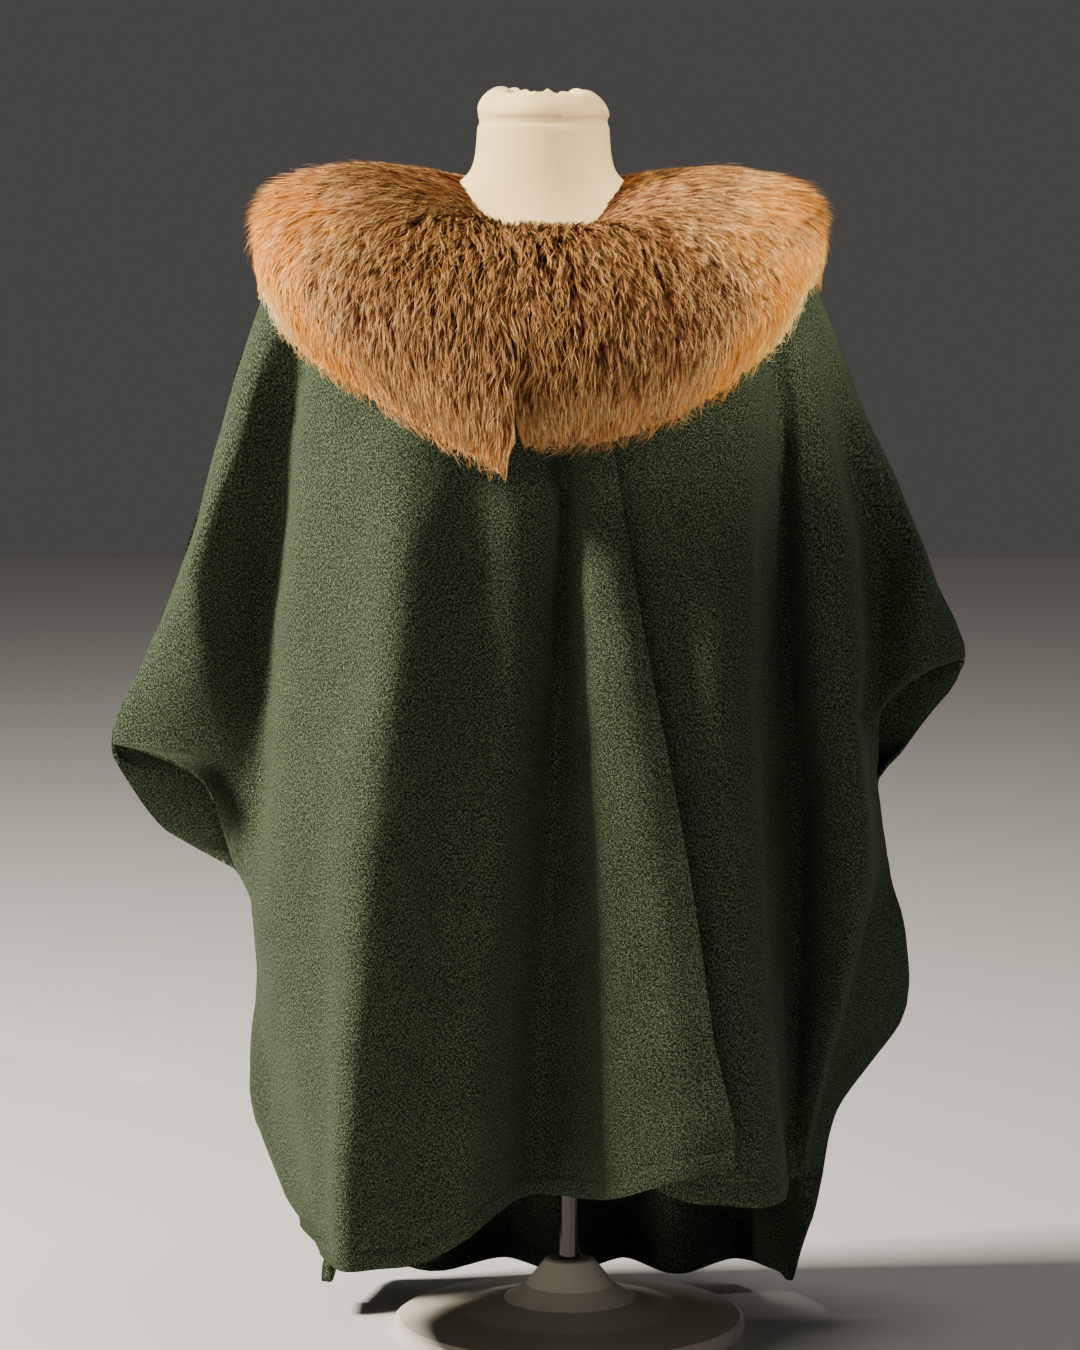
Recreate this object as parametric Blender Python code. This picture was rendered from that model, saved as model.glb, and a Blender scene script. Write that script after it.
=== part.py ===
"""Loden poncho with a round fur collar, on a limbless dress form.

Metres, +Z up. The front faces -Y, and the wearer's right side is at -X. The origin is the middle of the
underside of the foot. Each cloth panel is a wall: a grid of points runs down its outer face, and the same
grid moved inwards by the thickness of the cloth makes its inner face.
"""

import math

import bpy
import numpy as np

# Cloth, fur and seams.
WALL = 0.0024  # thickness of the loden
GAP = 0.0003  # between pieces that meet
LAYER = 0.0045  # how far the left front lies below the right one at the overlap
NEARBY = 0.02  # a small step, in radians or as a share, to find a surface's slope
SEWN_WITHIN = 0.012  # a side edge this far off the seam plane stands open
SHARP = math.radians(40)  # edges sharper than this stay sharp
LEAST_STEP = 0.004  # between neighbouring folds where a side edge crowds them

# The neckline and the yoke, which is the part of the panels above the ring.
CENTRE_X = -0.026
NECKLINE = dict(half=0.070, front=0.077, back=0.066, z_side=1.037, z_front=0.986, z_back=1.030)
RING = dict(z=0.909, half=0.262, front=0.150, back=0.115, power=2.3)
HANDLE = dict(reach=0.92, z_side=1.024, z_front=0.985, z_back=1.005)
YOKE_STEPS = (0.0, 0.15, 0.30, 0.45, 0.62, 0.80)

# Heights at which the tables below give each fold's place.
FOLD_HEIGHTS = (0.846, 0.68, 0.44, 0.17)

# Folds from the side to the free edge: name, then x and y at each of the four heights.
RIGHT_FRONT_FOLDS = (
    ("sleeve crest", -0.280, -0.045, -0.337, -0.042, -0.292, -0.030, -0.268, -0.035),
    ("side valley", -0.252, -0.038, -0.268, -0.014, -0.282, -0.044, -0.252, -0.070),
    ("flank", -0.228, -0.092, -0.249, -0.078, -0.264, -0.092, -0.236, -0.115),
    ("lit plane", -0.183, -0.142, -0.190, -0.150, -0.217, -0.158, -0.216, -0.172),
    ("main ridge", -0.135, -0.168, -0.145, -0.194, -0.174, -0.208, -0.194, -0.218),
    ("ridge back", -0.109, -0.172, -0.121, -0.191, -0.147, -0.203, -0.168, -0.210),
    ("dip", -0.079, -0.172, -0.083, -0.176, -0.109, -0.180, -0.130, -0.186),
    ("weak ridge", -0.042, -0.176, -0.041, -0.177, -0.064, -0.177, -0.093, -0.183),
    ("valley left lip", -0.018, -0.172, -0.024, -0.160, -0.045, -0.150, -0.066, -0.145),
    ("valley floor", -0.005, -0.160, -0.008, -0.128, -0.018, -0.106, -0.030, -0.078),
    ("valley right lip", 0.004, -0.166, 0.005, -0.155, 0.010, -0.135, 0.012, -0.120),
    ("overlap rise", 0.013, -0.175, 0.022, -0.184, 0.032, -0.180, 0.040, -0.178),
    ("overlap crest", 0.021, -0.178, 0.040, -0.193, 0.070, -0.201, 0.092, -0.206),
    ("free edge", 0.030, -0.177, 0.058, -0.190, 0.103, -0.202, 0.141, -0.209),
)
LEFT_FRONT_FOLDS = (
    ("sleeve crest", 0.246, -0.034, 0.314, -0.044, 0.279, -0.034, 0.217, -0.054),
    ("second valley", 0.232, -0.056, 0.277, -0.022, 0.271, -0.066, 0.213, -0.062),
    ("second ridge", 0.213, -0.088, 0.232, -0.118, 0.251, -0.118, 0.209, -0.070),
    ("ridge inner side", 0.199, -0.098, 0.213, -0.110, 0.229, -0.102, 0.204, -0.068),
    ("first valley", 0.186, -0.096, 0.189, -0.064, 0.205, -0.052, 0.199, -0.070),
    ("fold back", 0.174, -0.118, 0.167, -0.112, 0.174, -0.104, 0.191, -0.110),
    ("fold edge", 0.154, -0.146, 0.150, -0.167, 0.159, -0.168, 0.181, -0.168),
    ("panel front", 0.127, -0.160, 0.129, -0.181, 0.143, -0.186, 0.163, -0.189),
    ("panel middle", 0.085, -0.167, 0.093, -0.179, 0.115, -0.186, 0.132, -0.192),
    ("under the overlap", 0.044, -0.167, 0.054, -0.176, 0.080, -0.184, 0.100, -0.191),
    ("free edge", 0.016, -0.163, 0.032, -0.170, 0.056, -0.177, 0.070, -0.184),
)
BACK_FOLDS = (
    ("right sleeve crest", -0.284, 0.036, -0.335, 0.044, -0.292, 0.030, -0.272, 0.040),
    ("right valley", -0.252, 0.050, -0.272, 0.030, -0.280, 0.050, -0.256, 0.070),
    ("right flank", -0.227, 0.082, -0.238, 0.084, -0.256, 0.090, -0.238, 0.108),
    ("right ridge", -0.168, 0.122, -0.176, 0.150, -0.188, 0.165, -0.190, 0.174),
    ("right dip", -0.116, 0.130, -0.118, 0.130, -0.124, 0.130, -0.130, 0.124),
    ("inner right ridge", -0.066, 0.138, -0.062, 0.160, -0.060, 0.178, -0.060, 0.188),
    ("middle dip", -0.024, 0.136, -0.016, 0.137, -0.010, 0.132, -0.006, 0.126),
    ("inner left ridge", 0.020, 0.138, 0.034, 0.161, 0.046, 0.178, 0.052, 0.186),
    ("left dip", 0.066, 0.130, 0.082, 0.126, 0.100, 0.122, 0.104, 0.114),
    ("left ridge", 0.116, 0.118, 0.140, 0.146, 0.160, 0.158, 0.156, 0.162),
    ("left flank", 0.176, 0.080, 0.200, 0.082, 0.226, 0.086, 0.190, 0.104),
    ("left valley", 0.204, 0.050, 0.248, 0.030, 0.262, 0.048, 0.208, 0.074),
    ("left sleeve crest", 0.234, 0.036, 0.310, 0.044, 0.278, 0.030, 0.220, 0.046),
)

# The panels' side edges: height, x and y. Where y is 0 the front and the back are sewn together.
# Between the corner of the cuff and the underarm they part, and so they do round the corners of the hem.
RIGHT_SEAM_TOP = ((0.909, -0.289, 0.0), (0.846, -0.306, 0.0), (0.770, -0.326, 0.0), (0.700, -0.348, 0.0),
                  (0.620, -0.380, 0.0), (0.536, -0.413, 0.0))
RIGHT_SEAM_LOW = ((0.424, -0.303, 0.0), (0.390, -0.288, 0.0), (0.339, -0.284, 0.0), (0.266, -0.288, 0.0),
                  (0.220, -0.291, 0.0))
RIGHT_CUFF_FRONT = ((0.530, -0.367, -0.036), (0.519, -0.339, -0.045), (0.507, -0.326, -0.043),
                    (0.461, -0.312, -0.022))
RIGHT_CUFF_BACK = ((0.491, -0.395, 0.030), (0.452, -0.366, 0.044), (0.434, -0.335, 0.030))
RIGHT_CORNER_FRONT = ((0.178, -0.2775, -0.016), (0.136, -0.256, -0.052), (0.104, -0.224, -0.090))
RIGHT_CORNER_BACK = ((0.169, -0.2815, 0.012), (0.111, -0.250, 0.042), (0.062, -0.229, 0.070),
                     (0.033, -0.2275, 0.086))
LEFT_SEAM_TOP = ((0.909, 0.237, 0.0), (0.864, 0.250, 0.0), (0.766, 0.296, 0.0), (0.676, 0.332, 0.0),
                 (0.617, 0.355, 0.0))
LEFT_SEAM_LOW = ((0.504, 0.278, 0.0), (0.422, 0.289, 0.0), (0.367, 0.303, 0.0), (0.316, 0.307, 0.0))
LEFT_CUFF_FRONT = ((0.607, 0.321, -0.034), (0.589, 0.294, -0.040), (0.562, 0.276, -0.030))
LEFT_CUFF_BACK = ((0.592, 0.350, 0.022), (0.559, 0.327, 0.038), (0.523, 0.298, 0.026))
LEFT_CORNER_FRONT = ((0.286, 0.299, -0.008), (0.249, 0.271, -0.026), (0.209, 0.240, -0.042),
                     (0.161, 0.222, -0.052))
LEFT_CORNER_BACK = ((0.282, 0.300, 0.008), (0.239, 0.274, 0.022), (0.195, 0.246, 0.034),
                    (0.110, 0.228, 0.060), (0.033, 0.207, 0.082))

# The hem below the corners: x and height. Above LEVEL_ABOVE the rows of points stay level.
LEVEL_ABOVE = 0.30
RIGHT_FRONT_HEM = ((-0.224, 0.103), (-0.173, 0.104), (-0.135, 0.103), (-0.108, 0.110), (-0.086, 0.128),
                   (-0.056, 0.140), (-0.023, 0.142), (0.011, 0.146), (0.060, 0.170), (0.111, 0.186),
                   (0.138, 0.193))
LEFT_FRONT_HEM = ((0.068, 0.171), (0.094, 0.160), (0.140, 0.156), (0.186, 0.152), (0.205, 0.155),
                  (0.222, 0.161))
BACK_HEM = ((-0.2275, 0.033), (-0.160, 0.024), (-0.010, 0.020), (0.140, 0.024), (0.207, 0.033))

# The collar's lower edge, from the side round to the centre: share of the way and height.
COLLAR_RIGHT_FRONT = ((0.0, 0.955), (0.25, 0.935), (0.5, 0.889), (0.75, 0.845), (1.0, 0.787))
COLLAR_LEFT_FRONT = ((0.0, 0.958), (0.25, 0.945), (0.5, 0.888), (0.75, 0.836), (0.9, 0.817), (1.0, 0.812))
COLLAR_BACK = ((0.0, 0.956), (0.3, 0.925), (0.6, 0.890), (1.0, 0.868))
COLLAR_JOIN_X = -0.047  # where the two halves meet in front
COLLAR_GRID = dict(front=10, back=8, down=8)  # columns round each half, and rows down it
COLLAR_LIFTS = ((0.0, 0.0009), (0.12, 0.0046), (1.0, 0.0060))  # share of the way down, skin above the cloth
COLLAR_REACH = dict(side=0.94, front=1.13, back=1.12)  # how far out the skin rounds over the shoulder
COLLAR_FLARE = 0.42  # how fast its lower edge widens below the ring
COLLAR_NARROWS = 0.30  # how fast it narrows above the ring
COLLAR_DRAWN = (1.0, 0.7, 0.35)  # how much the first columns follow the line where the halves meet
COLLAR_DEPTHS = ((0.0, 0.011), (0.12, 0.023), (0.35, 0.037), (0.70, 0.034), (0.92, 0.022), (1.0, 0.007))
COLLAR_FULLNESS = dict(right=0.74, left=0.64, front=1.0, back=0.86)  # share of those depths, by direction

# The dress form: neck rings from the top as radius and height, then torso rings.
NECK_X = -0.024
NECK_RINGS = ((0.010, 1.101), (0.020, 1.107), (0.031, 1.117), (0.044, 1.119), (0.0545, 1.111),
              (0.0585, 1.100), (0.0569, 1.0945), (0.0569, 1.0925), (0.0587, 1.087), (0.0590, 1.070),
              (0.0605, 1.056), (0.0640, 1.046))
FORM_SINK = 0.013  # how far the form lies below the cloth away from the shoulder line
FORM_RIDGE = 0.02  # half the width of the strip on the shoulder line that carries the cloth
FORM_CLEAR = 0.0008  # between the form's shoulder line and the cloth that rests on it
FORM_SHARE = 0.45  # how far out along the yoke the form's shoulders reach
FORM_NECK = 0.92  # its first ring below the neckline, as a share of the neckline's size
TORSO_RINGS = (  # height, half width, front depth, back depth, middle x
    (0.956, 0.176, 0.117, 0.090, -0.026),
    (0.925, 0.170, 0.134, 0.100, -0.025),
    (0.870, 0.163, 0.142, 0.102, -0.023),
    (0.800, 0.152, 0.132, 0.096, -0.020),
    (0.700, 0.124, 0.088, 0.084, -0.016),
    (0.590, 0.158, 0.092, 0.104, -0.010),
    (0.520, 0.162, 0.090, 0.106, -0.006),
    (0.470, 0.156, 0.082, 0.100, -0.003),
    (0.455, 0.148, 0.076, 0.094, 0.000),
)
POLE = dict(radius=0.0095, foot=0.018, clear=0.0003, sides=24)
HUB_TOP = 0.065
BASE_PROFILE = ((0.160, 0.0), (0.160, 0.009), (0.156, 0.012), (0.100, 0.019), (0.060, 0.028), (0.040, 0.041),
                (0.0295, 0.055), (0.0225, 0.0635), (0.0190, HUB_TOP))
BASE_SIDES = 48


def clear_scene():
    for found in list(bpy.data.objects):
        bpy.data.objects.remove(found, do_unlink=True)


def slopes(at, values):
    """Slopes of a curve through the values that doesn't swing past any of them."""
    steps = np.diff(at)
    rises = np.diff(values) / steps
    found = np.zeros(len(values))
    found[0], found[-1] = rises[0], rises[-1]
    for i in range(1, len(values) - 1):
        if rises[i - 1] * rises[i] > 0:
            weight = (steps[i - 1] + 2 * steps[i]) / (3 * (steps[i - 1] + steps[i]))
            found[i] = rises[i - 1] * rises[i] / (weight * rises[i] + (1 - weight) * rises[i - 1])
    return found


def through(at, values, where):
    """The value of a smooth curve through a table, level past both of its ends."""
    order = np.argsort(at)
    at, values = np.asarray(at, float)[order], np.asarray(values, float)[order]
    where = min(max(where, at[0]), at[-1])
    slope = slopes(at, values)
    i = min(np.searchsorted(at, where, side="right") - 1, len(at) - 2)
    step = at[i + 1] - at[i]
    t = (where - at[i]) / step
    return (
        (1 + 2 * t) * (1 - t) ** 2 * values[i]
        + t * (1 - t) ** 2 * step * slope[i]
        + t * t * (3 - 2 * t) * values[i + 1]
        + t * t * (t - 1) * step * slope[i + 1]
    )


def table_point(rows, column, where):
    return through([row[0] for row in rows], [row[column] for row in rows], where)


def side_edge(rows, z):
    """x and y of a side edge at a height."""
    return table_point(rows, 1, z), table_point(rows, 2, z)


def mix(side, front, back, angle):
    """A value that changes smoothly from the side to the front, or to the back, round the neck."""
    share = math.sin(angle) ** 2
    return side + ((front if math.sin(angle) > 0 else back) - side) * share


def oval(angle, half, front, back, power=2.0):
    """A point of a rounded oval. Angle 0 is the right side, 90 degrees the front and 180 the left side."""
    c, s = math.cos(angle), math.sin(angle)
    x = -half * math.copysign(abs(c) ** (2 / power), c)
    y = -math.copysign(abs(s) ** (2 / power), s) * (front if s > 0 else back)
    return np.array((x, y))


def angle_at(x, back):
    """The angle at which the ring has this x."""
    share = min(max((CENTRE_X - x) / RING["half"], -1.0), 1.0)
    found = math.acos(math.copysign(abs(share) ** (RING["power"] / 2), share))
    return -found if back else found


def ring_point(angle):
    x, y = oval(angle, RING["half"], RING["front"], RING["back"], RING["power"])
    return np.array((CENTRE_X + x, y, RING["z"]))


def yoke_point(angle, share, end, lower=0.0, reach=HANDLE["reach"], neck_angle=None):
    """A point on the way from the neckline over the shoulder to the end point, share 0 to 1."""
    from_angle = angle if neck_angle is None else neck_angle
    x, y = oval(from_angle, NECKLINE["half"], NECKLINE["front"], NECKLINE["back"])
    z = mix(NECKLINE["z_side"], NECKLINE["z_front"], NECKLINE["z_back"], from_angle)
    start = np.array((CENTRE_X + x, y, z))
    z = mix(HANDLE["z_side"], HANDLE["z_front"], HANDLE["z_back"], angle)
    ring = ring_point(angle)
    handle = np.array((CENTRE_X + (ring[0] - CENTRE_X) * reach, ring[1] * reach, z))
    drop = lower * math.sin(angle) ** 2
    shift = np.array((0.0, drop, -drop))
    return (1 - share) ** 2 * (start + shift) + 2 * share * (1 - share) * (handle + shift) + share**2 * end


def fold_stations(folds, z):
    """x and y of each fold at a height, without the side edges."""
    heights = FOLD_HEIGHTS
    return np.array([(through(heights, row[1::2], z), through(heights, row[2::2], z)) for row in folds])


def spread(xs, edge, towards):
    """Keeps the folds in order and apart, on their side of an edge."""
    found = []
    last = edge
    for x in xs:
        last = max(x * towards, last * towards + LEAST_STEP) * towards
        found.append(last)
    return found


def section(panel, z):
    """The panel's stations at one height, side edges included, as rows of x, y and z."""
    inner = fold_stations(panel["folds"], z)
    first = side_edge(panel["side"], z)
    xs = spread(inner[:, 0], first[0], panel["towards"])
    ends = []
    if "far_side" in panel:
        last = side_edge(panel["far_side"], z)
        xs = spread(xs[::-1], last[0], -panel["towards"])[::-1]
        ends = [(last[0], last[1], z)]
    points = [(first[0], first[1], z)] + [(x, y, z) for x, y in zip(xs, inner[:, 1])] + ends
    points = np.array(points)
    bottom = panel["levels"][-1]
    if z < LEVEL_ABOVE:
        share = (LEVEL_ABOVE - z) / (LEVEL_ABOVE - bottom)
        for point in points:
            hem = table_point(panel["hem"], 1, point[0])
            point[2] = LEVEL_ABOVE + (hem - LEVEL_ABOVE) * share
    return points


def ring_stations(panel):
    """The same stations where the yoke ends, spread along the ring as they are at the first height."""
    first = section(panel, FOLD_HEIGHTS[0])[:, 0]
    start = side_edge(panel["side"], RING["z"])[0]
    end = side_edge(panel["far_side"], RING["z"])[0] if "far_side" in panel else panel["ring_end"]
    shares = (first - first[0]) / (first[-1] - first[0])
    angles = [angle_at(start + (end - start) * share, panel["back"]) for share in shares]
    angles[0] = 0.0 if panel["towards"] > 0 else math.pi
    if "far_side" in panel:
        angles[-1] = -math.pi
    return angles


def panel_stations(panel):
    """Rows of stations from the neckline to the hem."""
    lower = panel["lower"]
    angles = ring_stations(panel)
    rows = []
    for share in panel["yoke_steps"]:
        rows.append([yoke_point(a, share, ring_point(a) + lowered(a, lower), lower) for a in angles])
    rows.append([ring_point(a) + lowered(a, lower) for a in angles])
    for z in panel["levels"]:
        rows.append(section(panel, z))
    return np.array(rows, float)


def lowered(angle, lower):
    drop = lower * math.sin(angle) ** 2
    return np.array((0.0, drop, 0.0))


def mirrored_share(y):
    """1 where an edge is sewn at y = 0, and 0 where it stands open."""
    return max(0.0, 1.0 - abs(y) / SEWN_WITHIN)


def beyond(edge, inner):
    """The point that carries a row on past its edge: the mirror image on a seam, or straight on."""
    sewn = mirrored_share(edge[1])
    image = inner * np.array((1.0, -1.0, 1.0))
    return sewn * image + (1 - sewn) * (2 * edge - inner)


def refined(rows, parts, far_sewn):
    """Each row of stations with more points between them, on a smooth curve."""
    found = []
    for row in rows:
        last = beyond(row[-1], row[-2]) if far_sewn else 2 * row[-1] - row[-2]
        knots = np.vstack((beyond(row[0], row[1]), row, last))
        line = []
        for i in range(1, len(knots) - 2):
            for step in range(parts):
                line.append(spline(knots[i - 1], knots[i], knots[i + 1], knots[i + 2], step / parts))
        line.append(row[-1])
        found.append(line)
    return np.array(found)


def spline(a, b, c, d, t):
    """A smooth curve from b to c, its tangents scaled so that uneven steps don't make it swing."""
    span = np.linalg.norm(c - b) + 1e-9
    before = np.linalg.norm(b - a) + 1e-9
    after = np.linalg.norm(d - c) + 1e-9
    start = span * ((b - a) / before * span + (c - b) / span * before) / (before + span)
    end = span * ((c - b) / span * after + (d - c) / after * span) / (after + span)
    return (
        (1 + 2 * t) * (1 - t) ** 2 * b
        + t * (1 - t) ** 2 * start
        + t * t * (3 - 2 * t) * c
        + t * t * (t - 1) * end
    )


def normals_of(grid, far_sewn):
    """Unit normals at a grid's points. On a seam they lie in the seam's plane."""
    first = np.array([beyond(row[0], row[1]) for row in grid])
    last = np.array([beyond(row[-1], row[-2]) if far_sewn else 2 * row[-1] - row[-2] for row in grid])
    wide = np.concatenate((first[:, None], grid, last[:, None]), axis=1)
    along = wide[:, 2:] - wide[:, :-2]
    down = np.gradient(grid, axis=0)
    found = np.cross(along, down)
    return found / np.linalg.norm(found, axis=2, keepdims=True)


def keep_sides(grid, half_gap, back):
    """Moves a panel's points off the seam plane by half the seam's gap."""
    sign = 1.0 if back else -1.0
    grid[..., 1] = sign * np.maximum(sign * grid[..., 1], half_gap)
    return grid


def wall_mesh(name, outer, inner):
    """A closed wall between two grids of points, the first facing out."""
    rows, columns = outer.shape[:2]
    count = rows * columns
    points = np.concatenate((outer.reshape(-1, 3), inner.reshape(-1, 3)))

    def at(row, column, face):
        return face * count + row * columns + column

    faces = []
    for i in range(rows - 1):
        for j in range(columns - 1):
            faces.append((at(i, j, 0), at(i + 1, j, 0), at(i + 1, j + 1, 0), at(i, j + 1, 0)))
            faces.append((at(i, j, 1), at(i, j + 1, 1), at(i + 1, j + 1, 1), at(i + 1, j, 1)))
    for i in range(rows - 1):
        last = columns - 1
        faces.append((at(i, 0, 0), at(i, 0, 1), at(i + 1, 0, 1), at(i + 1, 0, 0)))
        faces.append((at(i, last, 0), at(i + 1, last, 0), at(i + 1, last, 1), at(i, last, 1)))
    for j in range(columns - 1):
        last = rows - 1
        faces.append((at(0, j, 0), at(0, j + 1, 0), at(0, j + 1, 1), at(0, j, 1)))
        faces.append((at(last, j, 0), at(last, j, 1), at(last, j + 1, 1), at(last, j + 1, 0)))
    return mesh_from(name, points, faces)


def mesh_from(name, points, faces):
    """A mesh whose faces point out."""
    mesh = bpy.data.meshes.new(name)
    mesh.from_pydata([tuple(p) for p in points], [], faces)
    mesh.update()
    if signed_volume(points, faces) < 0:
        mesh.flip_normals()
    return mesh


def signed_volume(points, faces):
    total = 0.0
    for face in faces:
        for i in range(1, len(face) - 1):
            a, b, c = points[face[0]], points[face[i]], points[face[i + 1]]
            total += np.dot(a, np.cross(b, c))
    return total


def add_object(name, mesh, material):
    mesh.materials.append(material)
    mesh.shade_smooth()
    mesh.set_sharp_from_angle(angle=SHARP)
    made = bpy.data.objects.new(name, mesh)
    bpy.context.scene.collection.objects.link(made)
    return made


def plain_material(name, colour, roughness, metallic=0.0):
    made = bpy.data.materials.new(name)
    made.use_nodes = True
    shader = made.node_tree.nodes["Principled BSDF"]
    shader.inputs["Base Color"].default_value = (*colour, 1.0)
    shader.inputs["Roughness"].default_value = roughness
    shader.inputs["Metallic"].default_value = metallic
    return made


def panel_grids(panel, parts):
    """The outer and inner points of a panel."""
    far_sewn = "far_side" in panel
    outer = refined(panel_stations(panel), parts, far_sewn)
    inner = outer - normals_of(outer, far_sewn) * WALL * panel["outwards"]
    return keep_sides(outer, GAP / 2, panel["back"]), keep_sides(inner, GAP / 2, panel["back"])


def right_front():
    side = RIGHT_SEAM_TOP + RIGHT_CUFF_FRONT + RIGHT_SEAM_LOW + RIGHT_CORNER_FRONT
    levels = (0.846, 0.770, 0.690, 0.610, 0.536, 0.530, 0.519, 0.507, 0.461, 0.424, 0.365, 0.300, 0.220,
              0.178, 0.136, 0.104)
    return dict(folds=RIGHT_FRONT_FOLDS, side=side, hem=RIGHT_FRONT_HEM, levels=levels, towards=1.0,
                back=False, ring_end=0.026, lower=0.0, outwards=-1.0, yoke_steps=YOKE_STEPS)


def left_front():
    side = LEFT_SEAM_TOP + LEFT_CUFF_FRONT + LEFT_SEAM_LOW + LEFT_CORNER_FRONT
    levels = (0.846, 0.766, 0.690, 0.617, 0.607, 0.589, 0.562, 0.504, 0.440, 0.375, 0.316, 0.286, 0.249,
              0.209, 0.161)
    return dict(folds=LEFT_FRONT_FOLDS, side=side, hem=LEFT_FRONT_HEM, levels=levels, towards=-1.0,
                back=False, ring_end=0.010, lower=LAYER, outwards=1.0, yoke_steps=YOKE_STEPS)


def back():
    side = RIGHT_SEAM_TOP + RIGHT_CUFF_BACK + RIGHT_SEAM_LOW + RIGHT_CORNER_BACK
    far_side = LEFT_SEAM_TOP + LEFT_CUFF_BACK + LEFT_SEAM_LOW + LEFT_CORNER_BACK
    levels = (0.846, 0.766, 0.690, 0.617, 0.592, 0.559, 0.536, 0.504, 0.491, 0.452, 0.424, 0.360, 0.316,
              0.270, 0.220, 0.169, 0.111, 0.062, 0.033)
    return dict(folds=BACK_FOLDS, side=side, far_side=far_side, hem=BACK_HEM, levels=levels, towards=1.0,
                back=True, lower=0.0, outwards=1.0, yoke_steps=YOKE_STEPS)


def build_panels(cloth):
    for name, make in (("right_front", right_front), ("left_front", left_front), ("back", back)):
        outer, inner = panel_grids(make(), 2)
        add_object(name, wall_mesh(name, outer, inner), cloth)


def collar_end(angle, z):
    """A point of the collar's lower edge. The skin widens below the ring as the cloth does."""
    below = max(0.0, RING["z"] - z)
    front = RING["front"] + COLLAR_LIFTS[-1][1] + COLLAR_FLARE * below
    depth = RING["back"] + COLLAR_LIFTS[-1][1] + COLLAR_FLARE * below
    above = max(0.0, z - RING["z"])
    half = RING["half"] - COLLAR_NARROWS * above
    x, y = oval(angle, half, front, depth, RING["power"])
    return np.array((CENTRE_X + x, y, z))


def collar_columns(right, count_front, count_back):
    """The collar's columns from the centre front round to the centre back: share of the way from the side,
    angle on the ring, angle on the neckline and whether it lies in front."""
    side = 0.0 if right else math.pi
    ring_join = angle_at(COLLAR_JOIN_X, False)
    neck_join = math.acos((CENTRE_X - COLLAR_JOIN_X) / NECKLINE["half"])
    end = -math.pi / 2 if right else 3 * math.pi / 2
    found = []
    for i in range(count_front, -1, -1):
        share = i / count_front
        found.append((share, side + (ring_join - side) * share, side + (neck_join - side) * share, True))
    for i in range(1, count_back + 1):
        share = i / count_back
        angle = side + (end - side) * share
        found.append((share, angle, angle, False))
    return found


def fullness_at(angle, right):
    side = COLLAR_FULLNESS["right" if right else "left"]
    return mix(side, COLLAR_FULLNESS["front"], COLLAR_FULLNESS["back"], angle)


def collar_grids(right):
    """The skin side and the hair side of one half of the collar."""
    steps = COLLAR_GRID["down"]
    shares = [i / steps for i in range(steps + 1)]
    edge = COLLAR_RIGHT_FRONT if right else COLLAR_LEFT_FRONT
    columns, fullness = [], []
    ways = collar_columns(right, COLLAR_GRID["front"], COLLAR_GRID["back"])
    for share, angle, neck_angle, in_front in ways:
        z = table_point(edge if in_front else COLLAR_BACK, 1, share)
        fullness.append(fullness_at(angle, right))
        end = collar_end(angle, z)
        reach = mix(COLLAR_REACH["side"], COLLAR_REACH["front"], COLLAR_REACH["back"], angle)
        columns.append([yoke_point(angle, s, end, reach=reach, neck_angle=neck_angle) for s in shares])
    skin = np.array(columns).transpose(1, 0, 2)
    lifts = np.array([table_point(COLLAR_LIFTS, 1, share) for share in shares])
    skin[..., 2] += lifts[:, None]
    sign = -1.0 if right else 1.0
    planes = (COLLAR_JOIN_X, CENTRE_X)
    off = planes[0] - skin[:, 0, 0]
    for column, drawn in enumerate(COLLAR_DRAWN):
        skin[:, column, 0] += off * drawn
    normals = collar_normals(skin, planes)
    depths = np.array([table_point(COLLAR_DEPTHS, 1, share) for share in shares])
    hair = skin + normals * (depths[:, None] * np.array(fullness))[..., None]
    for grid in (skin, hair):
        x = grid[..., 0]
        grid[..., 0] = np.where(grid[..., 1] < 0, held(x, planes[0], sign), held(x, planes[1], sign))
    return skin, hair


def held(x, plane, sign):
    """Keeps points on their side of a plane, half a gap away."""
    return plane + sign * np.maximum(sign * (x - plane), GAP / 2)


def collar_normals(skin, planes):
    """Normals pointing up and out. Where the halves meet they lie in the plane between them."""
    first = skin[:, 1] * np.array((-1.0, 1.0, 1.0)) + np.array((2 * planes[0], 0.0, 0.0))
    last = skin[:, -2] * np.array((-1.0, 1.0, 1.0)) + np.array((2 * planes[1], 0.0, 0.0))
    wide = np.concatenate((first[:, None], skin, last[:, None]), axis=1)
    found = np.cross(wide[:, 2:] - wide[:, :-2], np.gradient(skin, axis=0))
    found /= np.linalg.norm(found, axis=2, keepdims=True)
    middle = skin[skin.shape[0] // 2, skin.shape[1] // 2]
    outward = middle - np.array((CENTRE_X, 0.0, middle[2] - 0.05))
    if np.dot(found[skin.shape[0] // 2, skin.shape[1] // 2], outward) < 0:
        found = -found
    return found


def build_collar(fur):
    for name, right in (("collar_right", True), ("collar_left", False)):
        skin, hair = collar_grids(right)
        add_object(name, wall_mesh(name, hair, skin), fur)


def form_rings(columns):
    """Rings of the dress form from the top of the neck down to the bottom of the torso."""
    angles = [2 * math.pi * i / columns for i in range(columns)]
    rings = []
    for radius, z in NECK_RINGS:
        rings.append([(NECK_X - radius * math.cos(a), -radius * math.sin(a), z) for a in angles])
    for share in [s for s in YOKE_STEPS if s <= FORM_SHARE]:
        rings.append([below_cloth(a, share) for a in angles])
    for z, half, front, rear, middle in TORSO_RINGS:
        ring = []
        for a in angles:
            x, y = oval(a, half, front, rear, RING["power"])
            ring.append((middle + x, y, z))
        rings.append(ring)
    return np.array(rings, float)


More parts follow.
